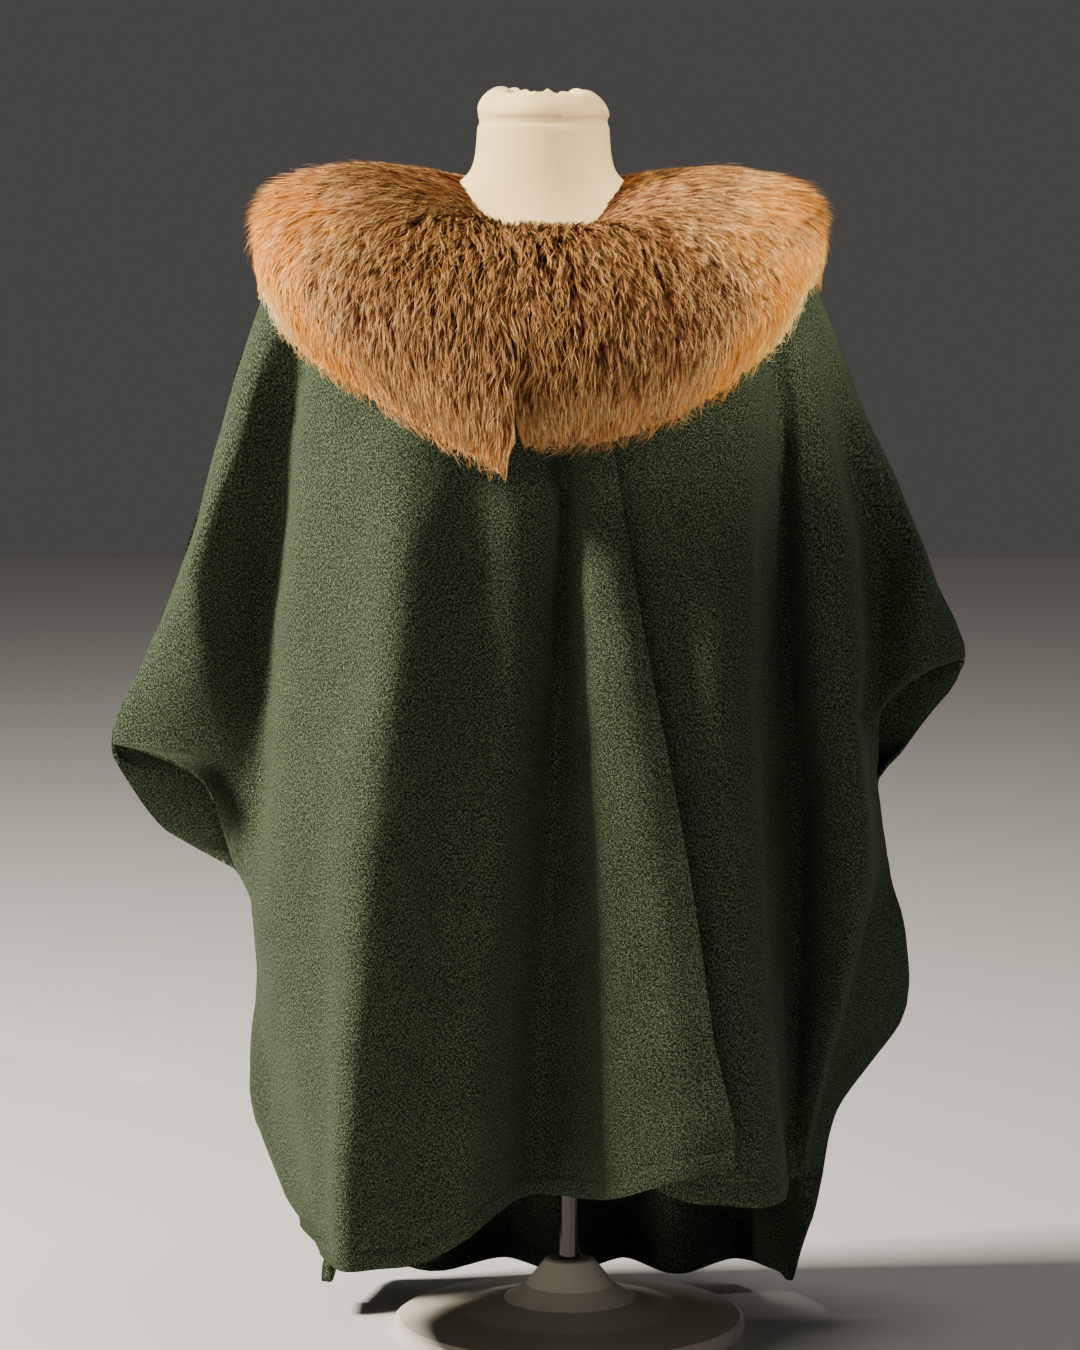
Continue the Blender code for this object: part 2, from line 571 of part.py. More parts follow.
def below_cloth(angle, share):
    """A point of the form: just clear of the cloth on the shoulder line, and further down beside it."""
    here = yoke_point(angle, share, ring_point(angle))
    along = yoke_point(angle + NEARBY, share, ring_point(angle + NEARBY)) - here
    out = yoke_point(angle, share + NEARBY, ring_point(angle)) - here
    normal = np.cross(along, out)
    normal /= np.linalg.norm(normal)
    if normal[2] < 0:
        normal = -normal
    sink = WALL + FORM_CLEAR + FORM_SINK * (1 - math.exp(-((here[1] / FORM_RIDGE) ** 2)))
    found = here - normal * sink
    if share == 0:
        centre = np.array((CENTRE_X, 0.0))
        found[:2] = centre + (found[:2] - centre) * FORM_NECK
    return found


def build_form(cover):
    rings = form_rings(36)
    count, columns = rings.shape[:2]
    points = list(rings.reshape(-1, 3))
    faces = []
    for i in range(count - 1):
        for j in range(columns):
            k = (j + 1) % columns
            faces.append((i * columns + j, i * columns + k, (i + 1) * columns + k, (i + 1) * columns + j))
    faces.append(tuple(range(columns - 1, -1, -1)))
    faces.append(tuple((count - 1) * columns + j for j in range(columns)))
    add_object("form_body", mesh_from("form_body", np.array(points), faces), cover)


def turned_mesh(name, profile, sides):
    """A closed body turned round the Z axis, from a profile that starts and ends on the axis."""
    points = [(0.0, 0.0, profile[0][1])]
    for radius, z in profile[1:-1]:
        for j in range(sides):
            angle = 2 * math.pi * j / sides
            points.append((radius * math.cos(angle), radius * math.sin(angle), z))
    points.append((0.0, 0.0, profile[-1][1]))
    last = len(points) - 1
    faces = []
    for j in range(sides):
        k = (j + 1) % sides
        faces.append((0, 1 + k, 1 + j))
        for i in range(len(profile) - 3):
            low, high = 1 + i * sides, 1 + (i + 1) * sides
            faces.append((low + j, low + k, high + k, high + j))
        top = 1 + (len(profile) - 3) * sides
        faces.append((top + j, top + k, last))
    return mesh_from(name, np.array(points), faces)


def build_stand(metal, paint):
    """The pole stands in the hub's bore, and its top meets the underside of the torso."""
    bore = POLE["radius"] + POLE["clear"]
    floor = POLE["foot"] - GAP
    profile = ((0.0, 0.0),) + BASE_PROFILE + ((bore, HUB_TOP), (bore, floor), (0.0, floor))
    add_object("form_base", turned_mesh("form_base", profile, BASE_SIDES), paint)
    top = TORSO_RINGS[-1][0] - GAP
    pole = ((0.0, POLE["foot"]), (POLE["radius"], POLE["foot"]), (POLE["radius"], top), (0.0, top))
    add_object("form_pole", turned_mesh("form_pole", pole, POLE["sides"]), metal)


def main():
    clear_scene()
    cloth = plain_material("dark green loden", (0.035, 0.060, 0.040), 0.95)
    fur = plain_material("fox fur", (0.42, 0.22, 0.09), 0.85)
    cover = plain_material("cream jersey", (0.80, 0.72, 0.58), 0.9)
    metal = plain_material("chromed steel", (0.55, 0.55, 0.56), 0.18, 1.0)
    paint = plain_material("cream foot", (0.78, 0.74, 0.66), 0.5)
    build_panels(cloth)
    build_collar(fur)
    build_form(cover)
    build_stand(metal, paint)


main()
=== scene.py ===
"""Looks of the loden poncho with its round fur collar, on a limbless dress form.

Metres, +Z up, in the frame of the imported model. The cloth is worked out from the same sizes and tables as the
solids, on closer rows and columns, and so is the surface under the fur. Nothing is random that isn't seeded.
"""

import math

import bpy
import numpy as np
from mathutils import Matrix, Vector


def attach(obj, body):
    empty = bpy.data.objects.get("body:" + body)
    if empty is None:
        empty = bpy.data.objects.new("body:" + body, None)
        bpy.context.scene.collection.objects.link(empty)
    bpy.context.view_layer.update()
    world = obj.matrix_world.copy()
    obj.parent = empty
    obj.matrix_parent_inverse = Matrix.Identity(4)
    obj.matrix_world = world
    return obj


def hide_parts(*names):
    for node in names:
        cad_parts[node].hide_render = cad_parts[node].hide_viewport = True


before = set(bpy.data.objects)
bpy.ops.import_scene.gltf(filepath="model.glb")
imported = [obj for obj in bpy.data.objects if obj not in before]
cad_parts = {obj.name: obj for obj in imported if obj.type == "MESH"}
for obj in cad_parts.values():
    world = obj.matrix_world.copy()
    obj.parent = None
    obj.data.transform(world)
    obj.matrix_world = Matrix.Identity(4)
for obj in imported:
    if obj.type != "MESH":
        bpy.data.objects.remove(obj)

# Cloth, fur and seams.
WALL = 0.0024  # thickness of the loden
GAP = 0.0003  # between pieces that meet
LAYER = 0.0045  # how far the left front lies below the right one at the overlap
NEARBY = 0.02  # a small step, in radians or as a share, to find a surface's slope
SEWN_WITHIN = 0.012  # a side edge this far off the seam plane stands open
LEAST_STEP = 0.004  # between neighbouring folds where a side edge crowds them

# The neckline and the yoke, which is the part of the panels above the ring.
CENTRE_X = -0.026
NECKLINE = dict(half=0.070, front=0.077, back=0.066, z_side=1.037, z_front=0.978, z_back=1.030)
RING = dict(z=0.909, half=0.262, front=0.150, back=0.115, power=2.3)
HANDLE = dict(reach=0.92, z_side=1.024, z_front=0.985, z_back=1.005)

# Heights at which the tables below give each fold's place.
FOLD_HEIGHTS = (0.846, 0.68, 0.44, 0.17)

# Folds from the side to the free edge: name, then x and y at each of the four heights.
RIGHT_FRONT_FOLDS = (
    ("sleeve crest", -0.280, -0.045, -0.337, -0.042, -0.292, -0.030, -0.268, -0.035),
    ("side valley", -0.252, -0.038, -0.268, -0.014, -0.282, -0.044, -0.252, -0.070),
    ("flank", -0.228, -0.092, -0.249, -0.078, -0.264, -0.092, -0.236, -0.115),
    ("lit plane", -0.183, -0.142, -0.190, -0.150, -0.217, -0.158, -0.216, -0.172),
    ("main ridge", -0.135, -0.168, -0.145, -0.194, -0.174, -0.208, -0.194, -0.218),
    ("ridge back", -0.109, -0.172, -0.121, -0.191, -0.147, -0.203, -0.168, -0.210),
    ("dip", -0.079, -0.172, -0.083, -0.176, -0.109, -0.180, -0.130, -0.186),
    ("weak ridge", -0.042, -0.176, -0.041, -0.177, -0.064, -0.177, -0.093, -0.183),
    ("valley left lip", -0.018, -0.172, -0.024, -0.160, -0.045, -0.150, -0.066, -0.145),
    ("valley floor", -0.005, -0.160, -0.008, -0.128, -0.018, -0.106, -0.030, -0.078),
    ("valley right lip", 0.004, -0.166, 0.005, -0.155, 0.010, -0.135, 0.012, -0.120),
    ("overlap rise", 0.013, -0.175, 0.022, -0.184, 0.032, -0.180, 0.040, -0.178),
    ("overlap crest", 0.021, -0.178, 0.040, -0.193, 0.070, -0.201, 0.092, -0.206),
    ("free edge", 0.030, -0.177, 0.058, -0.190, 0.103, -0.202, 0.141, -0.209),
)
LEFT_FRONT_FOLDS = (
    ("sleeve crest", 0.246, -0.034, 0.314, -0.044, 0.279, -0.034, 0.217, -0.054),
    ("second valley", 0.232, -0.056, 0.277, -0.022, 0.271, -0.066, 0.213, -0.062),
    ("second ridge", 0.213, -0.088, 0.232, -0.118, 0.251, -0.118, 0.209, -0.070),
    ("ridge inner side", 0.199, -0.098, 0.213, -0.110, 0.229, -0.102, 0.204, -0.068),
    ("first valley", 0.186, -0.096, 0.189, -0.064, 0.205, -0.052, 0.199, -0.070),
    ("fold back", 0.174, -0.118, 0.167, -0.112, 0.174, -0.104, 0.191, -0.110),
    ("fold edge", 0.154, -0.146, 0.150, -0.167, 0.159, -0.168, 0.181, -0.168),
    ("panel front", 0.127, -0.160, 0.129, -0.181, 0.143, -0.186, 0.163, -0.189),
    ("panel middle", 0.085, -0.167, 0.093, -0.179, 0.115, -0.186, 0.132, -0.192),
    ("under the overlap", 0.044, -0.167, 0.054, -0.176, 0.080, -0.184, 0.100, -0.191),
    ("free edge", 0.016, -0.163, 0.032, -0.170, 0.056, -0.177, 0.070, -0.184),
)
BACK_FOLDS = (
    ("right sleeve crest", -0.284, 0.036, -0.335, 0.044, -0.292, 0.030, -0.272, 0.040),
    ("right valley", -0.252, 0.050, -0.272, 0.030, -0.280, 0.050, -0.256, 0.070),
    ("right flank", -0.227, 0.082, -0.238, 0.084, -0.256, 0.090, -0.238, 0.108),
    ("right ridge", -0.168, 0.122, -0.176, 0.150, -0.188, 0.165, -0.190, 0.174),
    ("right dip", -0.116, 0.130, -0.118, 0.130, -0.124, 0.130, -0.130, 0.124),
    ("inner right ridge", -0.066, 0.138, -0.062, 0.160, -0.060, 0.178, -0.060, 0.188),
    ("middle dip", -0.024, 0.136, -0.016, 0.137, -0.010, 0.132, -0.006, 0.126),
    ("inner left ridge", 0.020, 0.138, 0.034, 0.161, 0.046, 0.178, 0.052, 0.186),
    ("left dip", 0.066, 0.130, 0.082, 0.126, 0.100, 0.122, 0.104, 0.114),
    ("left ridge", 0.116, 0.118, 0.140, 0.146, 0.160, 0.158, 0.156, 0.162),
    ("left flank", 0.176, 0.080, 0.200, 0.082, 0.226, 0.086, 0.190, 0.104),
    ("left valley", 0.204, 0.050, 0.248, 0.030, 0.262, 0.048, 0.208, 0.074),
    ("left sleeve crest", 0.234, 0.036, 0.310, 0.044, 0.278, 0.030, 0.220, 0.046),
)

# The panels' side edges: height, x and y. Where y is 0 the front and the back are sewn together.
# Between the corner of the cuff and the underarm they part, and so they do round the corners of the hem.
RIGHT_SEAM_TOP = ((0.909, -0.289, 0.0), (0.846, -0.306, 0.0), (0.770, -0.326, 0.0), (0.700, -0.348, 0.0),
                  (0.620, -0.380, 0.0), (0.536, -0.413, 0.0))
RIGHT_SEAM_LOW = ((0.424, -0.303, 0.0), (0.390, -0.288, 0.0), (0.339, -0.284, 0.0), (0.266, -0.288, 0.0),
                  (0.220, -0.291, 0.0))
RIGHT_CUFF_FRONT = ((0.530, -0.367, -0.036), (0.519, -0.339, -0.045), (0.507, -0.326, -0.043),
                    (0.461, -0.312, -0.022))
RIGHT_CUFF_BACK = ((0.491, -0.395, 0.030), (0.452, -0.366, 0.044), (0.434, -0.335, 0.030))
RIGHT_CORNER_FRONT = ((0.178, -0.2775, -0.016), (0.136, -0.256, -0.052), (0.104, -0.224, -0.090))
RIGHT_CORNER_BACK = ((0.169, -0.2790, 0.012), (0.111, -0.242, 0.042), (0.062, -0.226, 0.070),
                     (0.033, -0.2275, 0.086))
LEFT_SEAM_TOP = ((0.909, 0.237, 0.0), (0.864, 0.250, 0.0), (0.766, 0.296, 0.0), (0.676, 0.332, 0.0),
                 (0.617, 0.355, 0.0))
LEFT_SEAM_LOW = ((0.504, 0.278, 0.0), (0.422, 0.289, 0.0), (0.367, 0.303, 0.0), (0.316, 0.307, 0.0))
LEFT_CUFF_FRONT = ((0.607, 0.321, -0.034), (0.589, 0.294, -0.040), (0.562, 0.276, -0.030))
LEFT_CUFF_BACK = ((0.592, 0.350, 0.022), (0.559, 0.327, 0.038), (0.523, 0.298, 0.026))
LEFT_CORNER_FRONT = ((0.286, 0.299, -0.008), (0.249, 0.271, -0.026), (0.209, 0.240, -0.042), (0.161, 0.222,
                                                                                              -0.052))
LEFT_CORNER_BACK = ((0.282, 0.300, 0.008), (0.239, 0.274, 0.022), (0.195, 0.246, 0.034), (0.110, 0.228,
                                                                                          0.060),
                    (0.033, 0.207, 0.082))

# The hem below the corners: x and height. Above LEVEL_ABOVE the rows of points stay level.
LEVEL_ABOVE = 0.30
RIGHT_FRONT_HEM = ((-0.224, 0.103), (-0.173, 0.104), (-0.135, 0.103), (-0.108, 0.110), (-0.086, 0.128),
                   (-0.056, 0.140), (-0.023, 0.142), (0.011, 0.146), (0.060, 0.170), (0.111, 0.186),
                   (0.138, 0.193))
LEFT_FRONT_HEM = ((0.068, 0.171), (0.094, 0.160), (0.140, 0.156), (0.186, 0.152), (0.205, 0.155), (0.222,
                                                                                                   0.161))
BACK_HEM = ((-0.2275, 0.033), (-0.160, 0.024), (-0.010, 0.020), (0.140, 0.024), (0.207, 0.033))

# The collar's lower edge, from the side round to the centre: share of the way and height.
COLLAR_RIGHT_FRONT = ((0.0, 0.955), (0.25, 0.935), (0.5, 0.889), (0.75, 0.845), (1.0, 0.787))
COLLAR_LEFT_FRONT = ((0.0, 0.958), (0.25, 0.945), (0.5, 0.888), (0.75, 0.836), (0.9, 0.817), (1.0, 0.812))
COLLAR_BACK = ((0.0, 0.956), (0.3, 0.925), (0.6, 0.890), (1.0, 0.868))
COLLAR_JOIN_X = -0.047  # where the two halves meet in front
COLLAR_LIFTS = ((0.0, 0.0009), (0.12, 0.0046), (1.0, 0.0060))  # share of the way down, skin above the cloth
COLLAR_REACH = dict(side=0.94, front=1.13, back=1.12)  # how far out the skin rounds over the shoulder
COLLAR_FLARE = 0.42  # how fast its lower edge widens below the ring
COLLAR_NARROWS = 0.30  # how fast it narrows above the ring
COLLAR_DEPTHS = ((0.0, 0.011), (0.12, 0.023), (0.35, 0.037), (0.70, 0.034), (0.92, 0.022), (1.0, 0.007))
COLLAR_FULLNESS = dict(right=0.74, left=0.64, front=1.0, back=0.86)  # share of those depths, by direction

# The dress form: neck rings from the top as radius and height, then torso rings.
NECK_X = -0.024
NECK_RINGS = ((0.010, 1.101), (0.020, 1.107), (0.031, 1.117), (0.044, 1.119), (0.0545, 1.111), (0.0585,
                                                                                                1.100),
              (0.0569, 1.0945), (0.0569, 1.0925), (0.0587, 1.087), (0.0590, 1.070), (0.0605, 1.056),
              (0.0640, 1.046))
FORM_SINK = 0.013  # how far the form lies below the cloth away from the shoulder line
FORM_RIDGE = 0.02  # half the width of the strip on the shoulder line that carries the cloth
FORM_CLEAR = 0.0008  # between the form's shoulder line and the cloth that rests on it
FORM_SHARES = (0.0, 0.15, 0.30, 0.45)  # where the form's shoulders have a ring, as shares of the yoke
FORM_NECK = 0.92  # its first ring below the neckline, as a share of the neckline's size
TORSO_RINGS = (  # height, half width, front depth, back depth, middle x
    (0.956, 0.176, 0.117, 0.090, -0.026),
    (0.925, 0.170, 0.134, 0.100, -0.025),
    (0.870, 0.163, 0.142, 0.102, -0.023),
    (0.800, 0.152, 0.132, 0.096, -0.020),
    (0.700, 0.124, 0.088, 0.084, -0.016),
    (0.590, 0.158, 0.092, 0.104, -0.010),
    (0.520, 0.162, 0.090, 0.106, -0.006),
    (0.470, 0.156, 0.082, 0.100, -0.003),
    (0.455, 0.148, 0.076, 0.094, 0.000),
)

# Finer form of the cloth.
ROW_STEP = 0.010
FINE_YOKE = (0.0, 0.10, 0.20, 0.30, 0.40, 0.50, 0.60, 0.70, 0.80, 0.90)
COLUMN_PARTS = 7
OPEN_FROM = 0.006  # a side edge this far off the seam plane is open
HEM = dict(wide=0.0175, soft=0.002, stitch=0.0170, groove=0.0016, dent=0.0007, puff=0.0007, fold=0.0012,
           round=0.0016,
           pull=0.0005, fine=0.030, step=0.0025, every=0.002)
LARGE_WAVE = (0.110, 0.0011)  # size and height
SMALL_WAVE = (0.034, 0.00028)
WAVES = 9
CHUNK = 64  # points compared at a time
BUMPS_BELOW = 0.93
BUMPS_FADE = 0.06
SOFT_TURN = dict(low=0.790, high=0.965, over=0.035, times=36)  # where the yoke runs over into the folds
STITCH = dict(step=0.0042, long=0.0028, thick=0.00035, least=0.001, jump=0.02, fewest=3)
# A stitch from end to end: way along it, how far it stands up and how broad it is, in thicknesses.
STITCH_SHAPE = ((0.0, -0.6, 0.3), (0.3, 0.5, 1.0), (0.7, 0.5, 1.0), (1.0, -0.6, 0.3))
STITCH_HALF_HEIGHT = 0.6
FUZZ = dict(per_m2=9000, long=0.0030, half_width=0.00008, below=0.93, lean=(0.25, 0.0, -0.35), uneven=0.45,
            rise=(0.05, 0.45), rise_power=1.2, bend=0.22, sunk=0.0002, at=(0.0, 0.5, 1.0), taper=(1.0, 0.8,
                                                                                                  0.0))
# Creases: x and z of both ends, width, height and bow.
RIGHT_CREASES = (
    (-0.215, 0.930, -0.262, 0.770, 0.012, -0.0022, 0.010),
    (-0.262, 0.800, -0.330, 0.610, 0.010, -0.0020, -0.012),
    (-0.170, 0.900, -0.205, 0.640, 0.014, -0.0018, 0.008),
    (-0.245, 0.690, -0.300, 0.520, 0.012, 0.0018, 0.010),
    (-0.100, 0.840, -0.128, 0.560, 0.011, -0.0014, -0.006),
    (-0.205, 0.560, -0.240, 0.300, 0.016, -0.0016, 0.010),
    (-0.060, 0.790, -0.058, 0.640, 0.009, 0.0012, 0.004),
    (-0.150, 0.420, -0.176, 0.200, 0.014, -0.0014, -0.008),
    (0.015, 0.730, 0.040, 0.520, 0.009, 0.0012, 0.004),
    (0.050, 0.470, 0.078, 0.240, 0.011, -0.0012, -0.005),
    (-0.315, 0.640, -0.352, 0.555, 0.007, 0.0016, 0.004),
    (-0.292, 0.480, -0.345, 0.548, 0.008, -0.0018, 0.005),
)
LEFT_CREASES = (
    (0.170, 0.905, 0.228, 0.760, 0.012, -0.0020, -0.008),
    (0.215, 0.820, 0.292, 0.660, 0.010, 0.0018, 0.010),
    (0.080, 0.820, 0.104, 0.560, 0.011, -0.0013, 0.006),
    (0.235, 0.640, 0.268, 0.440, 0.012, -0.0018, -0.008),
    (0.120, 0.520, 0.138, 0.290, 0.012, 0.0012, 0.006),
    (0.262, 0.480, 0.286, 0.330, 0.009, 0.0016, -0.005),
    (0.100, 0.400, 0.112, 0.200, 0.010, -0.0012, 0.004),
    (0.280, 0.560, 0.325, 0.600, 0.007, -0.0016, 0.004),
)
BACK_CREASES = (
    (-0.200, 0.920, -0.262, 0.760, 0.012, -0.0020, 0.009),
    (-0.270, 0.790, -0.350, 0.600, 0.011, 0.0018, -0.010),
    (-0.110, 0.880, -0.120, 0.640, 0.014, -0.0015, 0.007),
    (-0.060, 0.560, -0.070, 0.260, 0.014, 0.0013, -0.008),
    (0.010, 0.860, 0.024, 0.600, 0.012, -0.0014, 0.006),
    (0.100, 0.760, 0.120, 0.480, 0.013, 0.0014, -0.008),
    (0.160, 0.910, 0.224, 0.770, 0.011, -0.0019, -0.008),
    (0.230, 0.700, 0.262, 0.430, 0.012, -0.0016, 0.008),
    (-0.200, 0.500, -0.222, 0.220, 0.014, -0.0015, 0.008),
    (0.060, 0.420, 0.084, 0.140, 0.013, -0.0013, -0.006),
    (0.255, 0.800, 0.318, 0.640, 0.009, -0.0018, 0.007),
    (-0.020, 0.330, -0.010, 0.110, 0.012, 0.0012, 0.005),
)

# Fur.
FUR_GRID = dict(front=60, back=48, down=48)
COLLAR_DRAWN_SHARES = ((1.0, 1.0), (0.9, 0.7), (0.8, 0.35), (0.7, 0.0), (0.0, 0.0))
PELT_WALL = 0.0012
PELT_WAVE = dict(high=0.0012, long=0.02, seed=3)
# How thick the underwool is: share of the way down, share of the fur's depth.
PELT_RISE = ((0.0, 0.06), (0.03, 0.34), (0.10, 0.50), (0.90, 0.42), (1.0, 0.30))
PELT_MAP_ROW = 0.25
HAIR_BINS = 400
FUR_LAYERS = 3
FUR_CLUMPS = 2750
PER_CLUMP = 6
STRAY_CLUMPS = 2200
FUR_LOOK = dict(long=0.033, steps=5, stand=0.45, stand_over=0.05, stand_rise=0.002, swirl=0.26, stray=0.15,
                spread=0.0030, close=0.84, wave=0.0022, turns=5.0, root_at=0.40, tip_at=1.04,
                half_width=0.00038,
                roll=0.45, mix=0.05, roots_to=0.97, past=0.010, edge=0.0)
HAIR = dict(zone_wave=0.10, zone_size=0.05, zone_mix=0.05, longer=(0.75, 1.25), longer_each=(0.82, 1.12),
            short_neck=0.25, short_low=0.30, low=0.25, swirl_size=0.06, open=0.45, still=0.5, join=0.16,
            cell=0.0006,
            tips=(0.80, 1.12), width=(0.7, 1.3), fly=(0.3, 1.2), past_side=0.70, past_join=0.6, hang=0.08,
            across=0.32)  # shares and sizes that all strands have in common
# How far strands cross the join.
HAIR_CROSS = dict(before=-0.05, above=0.86, over=0.013, power=1.4, kept=0.10)
HAIR_TAPER = ((0.0, 0.75), (0.35, 1.0), (0.75, 0.7), (1.0, 0.0))
STRAY_LOOK = dict(long=0.050, tip_at=1.20, stray=0.30, close=0.2, half_width=0.00018, wave=0.0028, past=0.026,
                  edge=1.0)
NECK_SHORT = dict(by=0.50, front=0.42, over=0.13)  # how much lower the hair lies at the neckline
SIDE_THIN = dict(by=0.80, start=0.45, over=0.50)  # how much it thins towards the side ends
SIDE_FLY = dict(out=0.020, up=0.010, at=0.48, over=0.20)  # how the hair leaves the shoulders at the side ends
# The line where the halves meet.
JOIN_WAVE = dict(high=0.0032, long=0.062, fine=0.0018, short=0.027, near=0.016)
# How the longer half's tip turns from that line.
JOIN_TIP = dict(by=0.006, below=0.862, over=0.06, near=0.020)
ZONE = dict(base=0.05, side=0.50, side_from=0.22, side_over=0.40, neck_from=0.10, neck_over=0.36, down=0.38,
            down_from=0.60, down_over=0.40)
ZONE_BAND = 0.9
# Hair colours by zone, at the root and along the middle. The stops at 0.42, on the lower front edge, are the
# hair's own pale colour made paler still as painted light, where the key lamp leaves that edge in shade.
FUR_ROOT_WITH_PAINTED_LIGHT = ((0.0, (0.030, 0.010, 0.003)), (0.28, (0.075, 0.024, 0.006)), (0.42, (0.32, 0.140, 0.045)),
            (0.56, (0.28, 0.080, 0.010)), (0.8, (0.62, 0.27, 0.05)), (1.0, (0.90, 0.60, 0.27)))
FUR_MIDDLE_WITH_PAINTED_LIGHT = ((0.0, (0.20, 0.060, 0.010)), (0.28, (0.34, 0.105, 0.014)), (0.42, (0.92, 0.500, 0.180)),
              (0.56, (0.86, 0.260, 0.012)), (0.8, (1.0, 0.55, 0.09)), (1.0, (1.0, 0.78, 0.38)))
FUR_BAND = ((0.0, (0.016, 0.006, 0.002)), (0.45, (0.10, 0.030, 0.005)), (0.7, (0.55, 0.19, 0.020)),
            (1.0, (0.94, 0.58, 0.20)))
# Tip colours by zone. The pale tips at 0, on the dark ticked hair, are partly the hair's own ticking and partly
# a painted highlight.
FUR_TIP_AND_HIGHLIGHT = ((0.0, (0.78, 0.40, 0.12)), (0.3, (0.98, 0.68, 0.31)), (0.44, (0.99, 0.70, 0.32)),
           (0.56, (0.96, 0.36, 0.012)), (0.68, (0.98, 0.46, 0.050)), (0.84, (1.0, 0.74, 0.28)),
           (1.0, (1.0, 0.86, 0.50)))

# Cover, colours and studio.
COVER = dict(smoothed=40, tilt=0.0022, columns=144, parts=4, gather=0.0026, sag=0.0012, ribs=230)
JERSEY = dict(shade=(0.86, 0.61, 0.25), light=(0.95, 0.76, 0.40), line=(0.71, 0.47, 0.17))
LODEN = dict(dark=(0.0044, 0.0096, 0.0042), mid=(0.0088, 0.0166, 0.0076), pale=(0.168, 0.220, 0.124))
LAMPS = (
    ("key", (-2.80, -0.50, 2.85), (0.0, 0.0, 0.65), 440.0, 0.7, 3.14, (1.0, 0.92, 0.80)),
    ("collar", (1.5, -1.9, 2.5), (0.14, -0.10, 1.02), 0.75, 0.20, 0.17, (1.0, 0.93, 0.82)),
    ("top", (0.55, -0.10, 3.3), (0.0, 0.0, 1.0), 20.0, 0.7, 3.14, (1.0, 0.94, 0.86)),
    ("fill", (1.6, -3.6, 1.5), (0.0, 0.0, 0.6), 4.0, 2.0, 3.14, (1.0, 0.97, 0.93)),
)
WORLD = dict(colour=(0.95, 0.93, 0.90), strength=0.07)
CAMERA = dict(target=(-0.027, 0.0, 0.599), distance=4.0, elevation=6.0, sensor=36.0, seen=1.215)
FLOOR_HALF = 9.0



def slopes(at, values):
    """Slopes of a curve through the values that doesn't swing past any of them."""
    steps = np.diff(at)
    rises = np.diff(values) / steps
    found = np.zeros(len(values))
    found[0], found[-1] = rises[0], rises[-1]
    for i in range(1, len(values) - 1):
        if rises[i - 1] * rises[i] > 0:
            weight = (steps[i - 1] + 2 * steps[i]) / (3 * (steps[i - 1] + steps[i]))
            found[i] = rises[i - 1] * rises[i] / (weight * rises[i] + (1 - weight) * rises[i - 1])
    return found


def through(at, values, where):
    """The value of a smooth curve through a table, level past both of its ends."""
    order = np.argsort(at)
    at, values = np.asarray(at, float)[order], np.asarray(values, float)[order]
    where = min(max(where, at[0]), at[-1])
    slope = slopes(at, values)
    i = min(np.searchsorted(at, where, side="right") - 1, len(at) - 2)
    step = at[i + 1] - at[i]
    t = (where - at[i]) / step
    return (
        (1 + 2 * t) * (1 - t) ** 2 * values[i]
        + t * (1 - t) ** 2 * step * slope[i]
        + t * t * (3 - 2 * t) * values[i + 1]
        + t * t * (t - 1) * step * slope[i + 1]
    )


def table_point(rows, column, where):
    return through([row[0] for row in rows], [row[column] for row in rows], where)


def side_edge(rows, z):
    """x and y of a side edge at a height."""
    return table_point(rows, 1, z), table_point(rows, 2, z)


def mix(side, front, back, angle):
    """A value that changes smoothly from the side to the front, or to the back, round the neck."""
    share = math.sin(angle) ** 2
    return side + ((front if math.sin(angle) > 0 else back) - side) * share


def oval(angle, half, front, back, power=2.0):
    """A point of a rounded oval. Angle 0 is the right side, 90 degrees the front and 180 the left side."""
    c, s = math.cos(angle), math.sin(angle)
    x = -half * math.copysign(abs(c) ** (2 / power), c)
    y = -math.copysign(abs(s) ** (2 / power), s) * (front if s > 0 else back)
    return np.array((x, y))


def angle_at(x, back):
    """The angle at which the ring has this x."""
    share = min(max((CENTRE_X - x) / RING["half"], -1.0), 1.0)
    found = math.acos(math.copysign(abs(share) ** (RING["power"] / 2), share))
    return -found if back else found


def ring_point(angle):
    x, y = oval(angle, RING["half"], RING["front"], RING["back"], RING["power"])
    return np.array((CENTRE_X + x, y, RING["z"]))


def yoke_point(angle, share, end, lower=0.0, reach=HANDLE["reach"], neck_angle=None):
    """A point on the way from the neckline over the shoulder to the end point, share 0 to 1."""
    from_angle = angle if neck_angle is None else neck_angle
    x, y = oval(from_angle, NECKLINE["half"], NECKLINE["front"], NECKLINE["back"])
    z = mix(NECKLINE["z_side"], NECKLINE["z_front"], NECKLINE["z_back"], from_angle)
    start = np.array((CENTRE_X + x, y, z))
    z = mix(HANDLE["z_side"], HANDLE["z_front"], HANDLE["z_back"], angle)
    ring = ring_point(angle)
    handle = np.array((CENTRE_X + (ring[0] - CENTRE_X) * reach, ring[1] * reach, z))
    drop = lower * math.sin(angle) ** 2
    shift = np.array((0.0, drop, -drop))
    return (1 - share) ** 2 * (start + shift) + 2 * share * (1 - share) * (handle + shift) + share**2 * end


def fold_stations(folds, z):
    """x and y of each fold at a height, without the side edges."""
    heights = FOLD_HEIGHTS
    return np.array([(through(heights, row[1::2], z), through(heights, row[2::2], z)) for row in folds])


def spread(xs, edge, towards):
    """Keeps the folds in order and apart, on their side of an edge."""
    found = []
    last = edge
    for x in xs:
        last = max(x * towards, last * towards + LEAST_STEP) * towards
        found.append(last)
    return found


def uncrowded(inner, xs, edge_y, share):
    """y of the folds. Those that the edge crowds are led straight from it to the first one that it leaves
    alone."""
    ys = inner[:, 1].copy()
    moved = np.flatnonzero(np.abs(np.array(xs) - inner[:, 0]) > 1e-9)
    if len(moved) and moved[0] == 0:
        free = int(moved[-1]) + 1
        for i in range(free):
            straight = edge_y + (ys[free] - edge_y) * (i + 1) / (free + 1)
            ys[i] += (straight - ys[i]) * share
    return ys


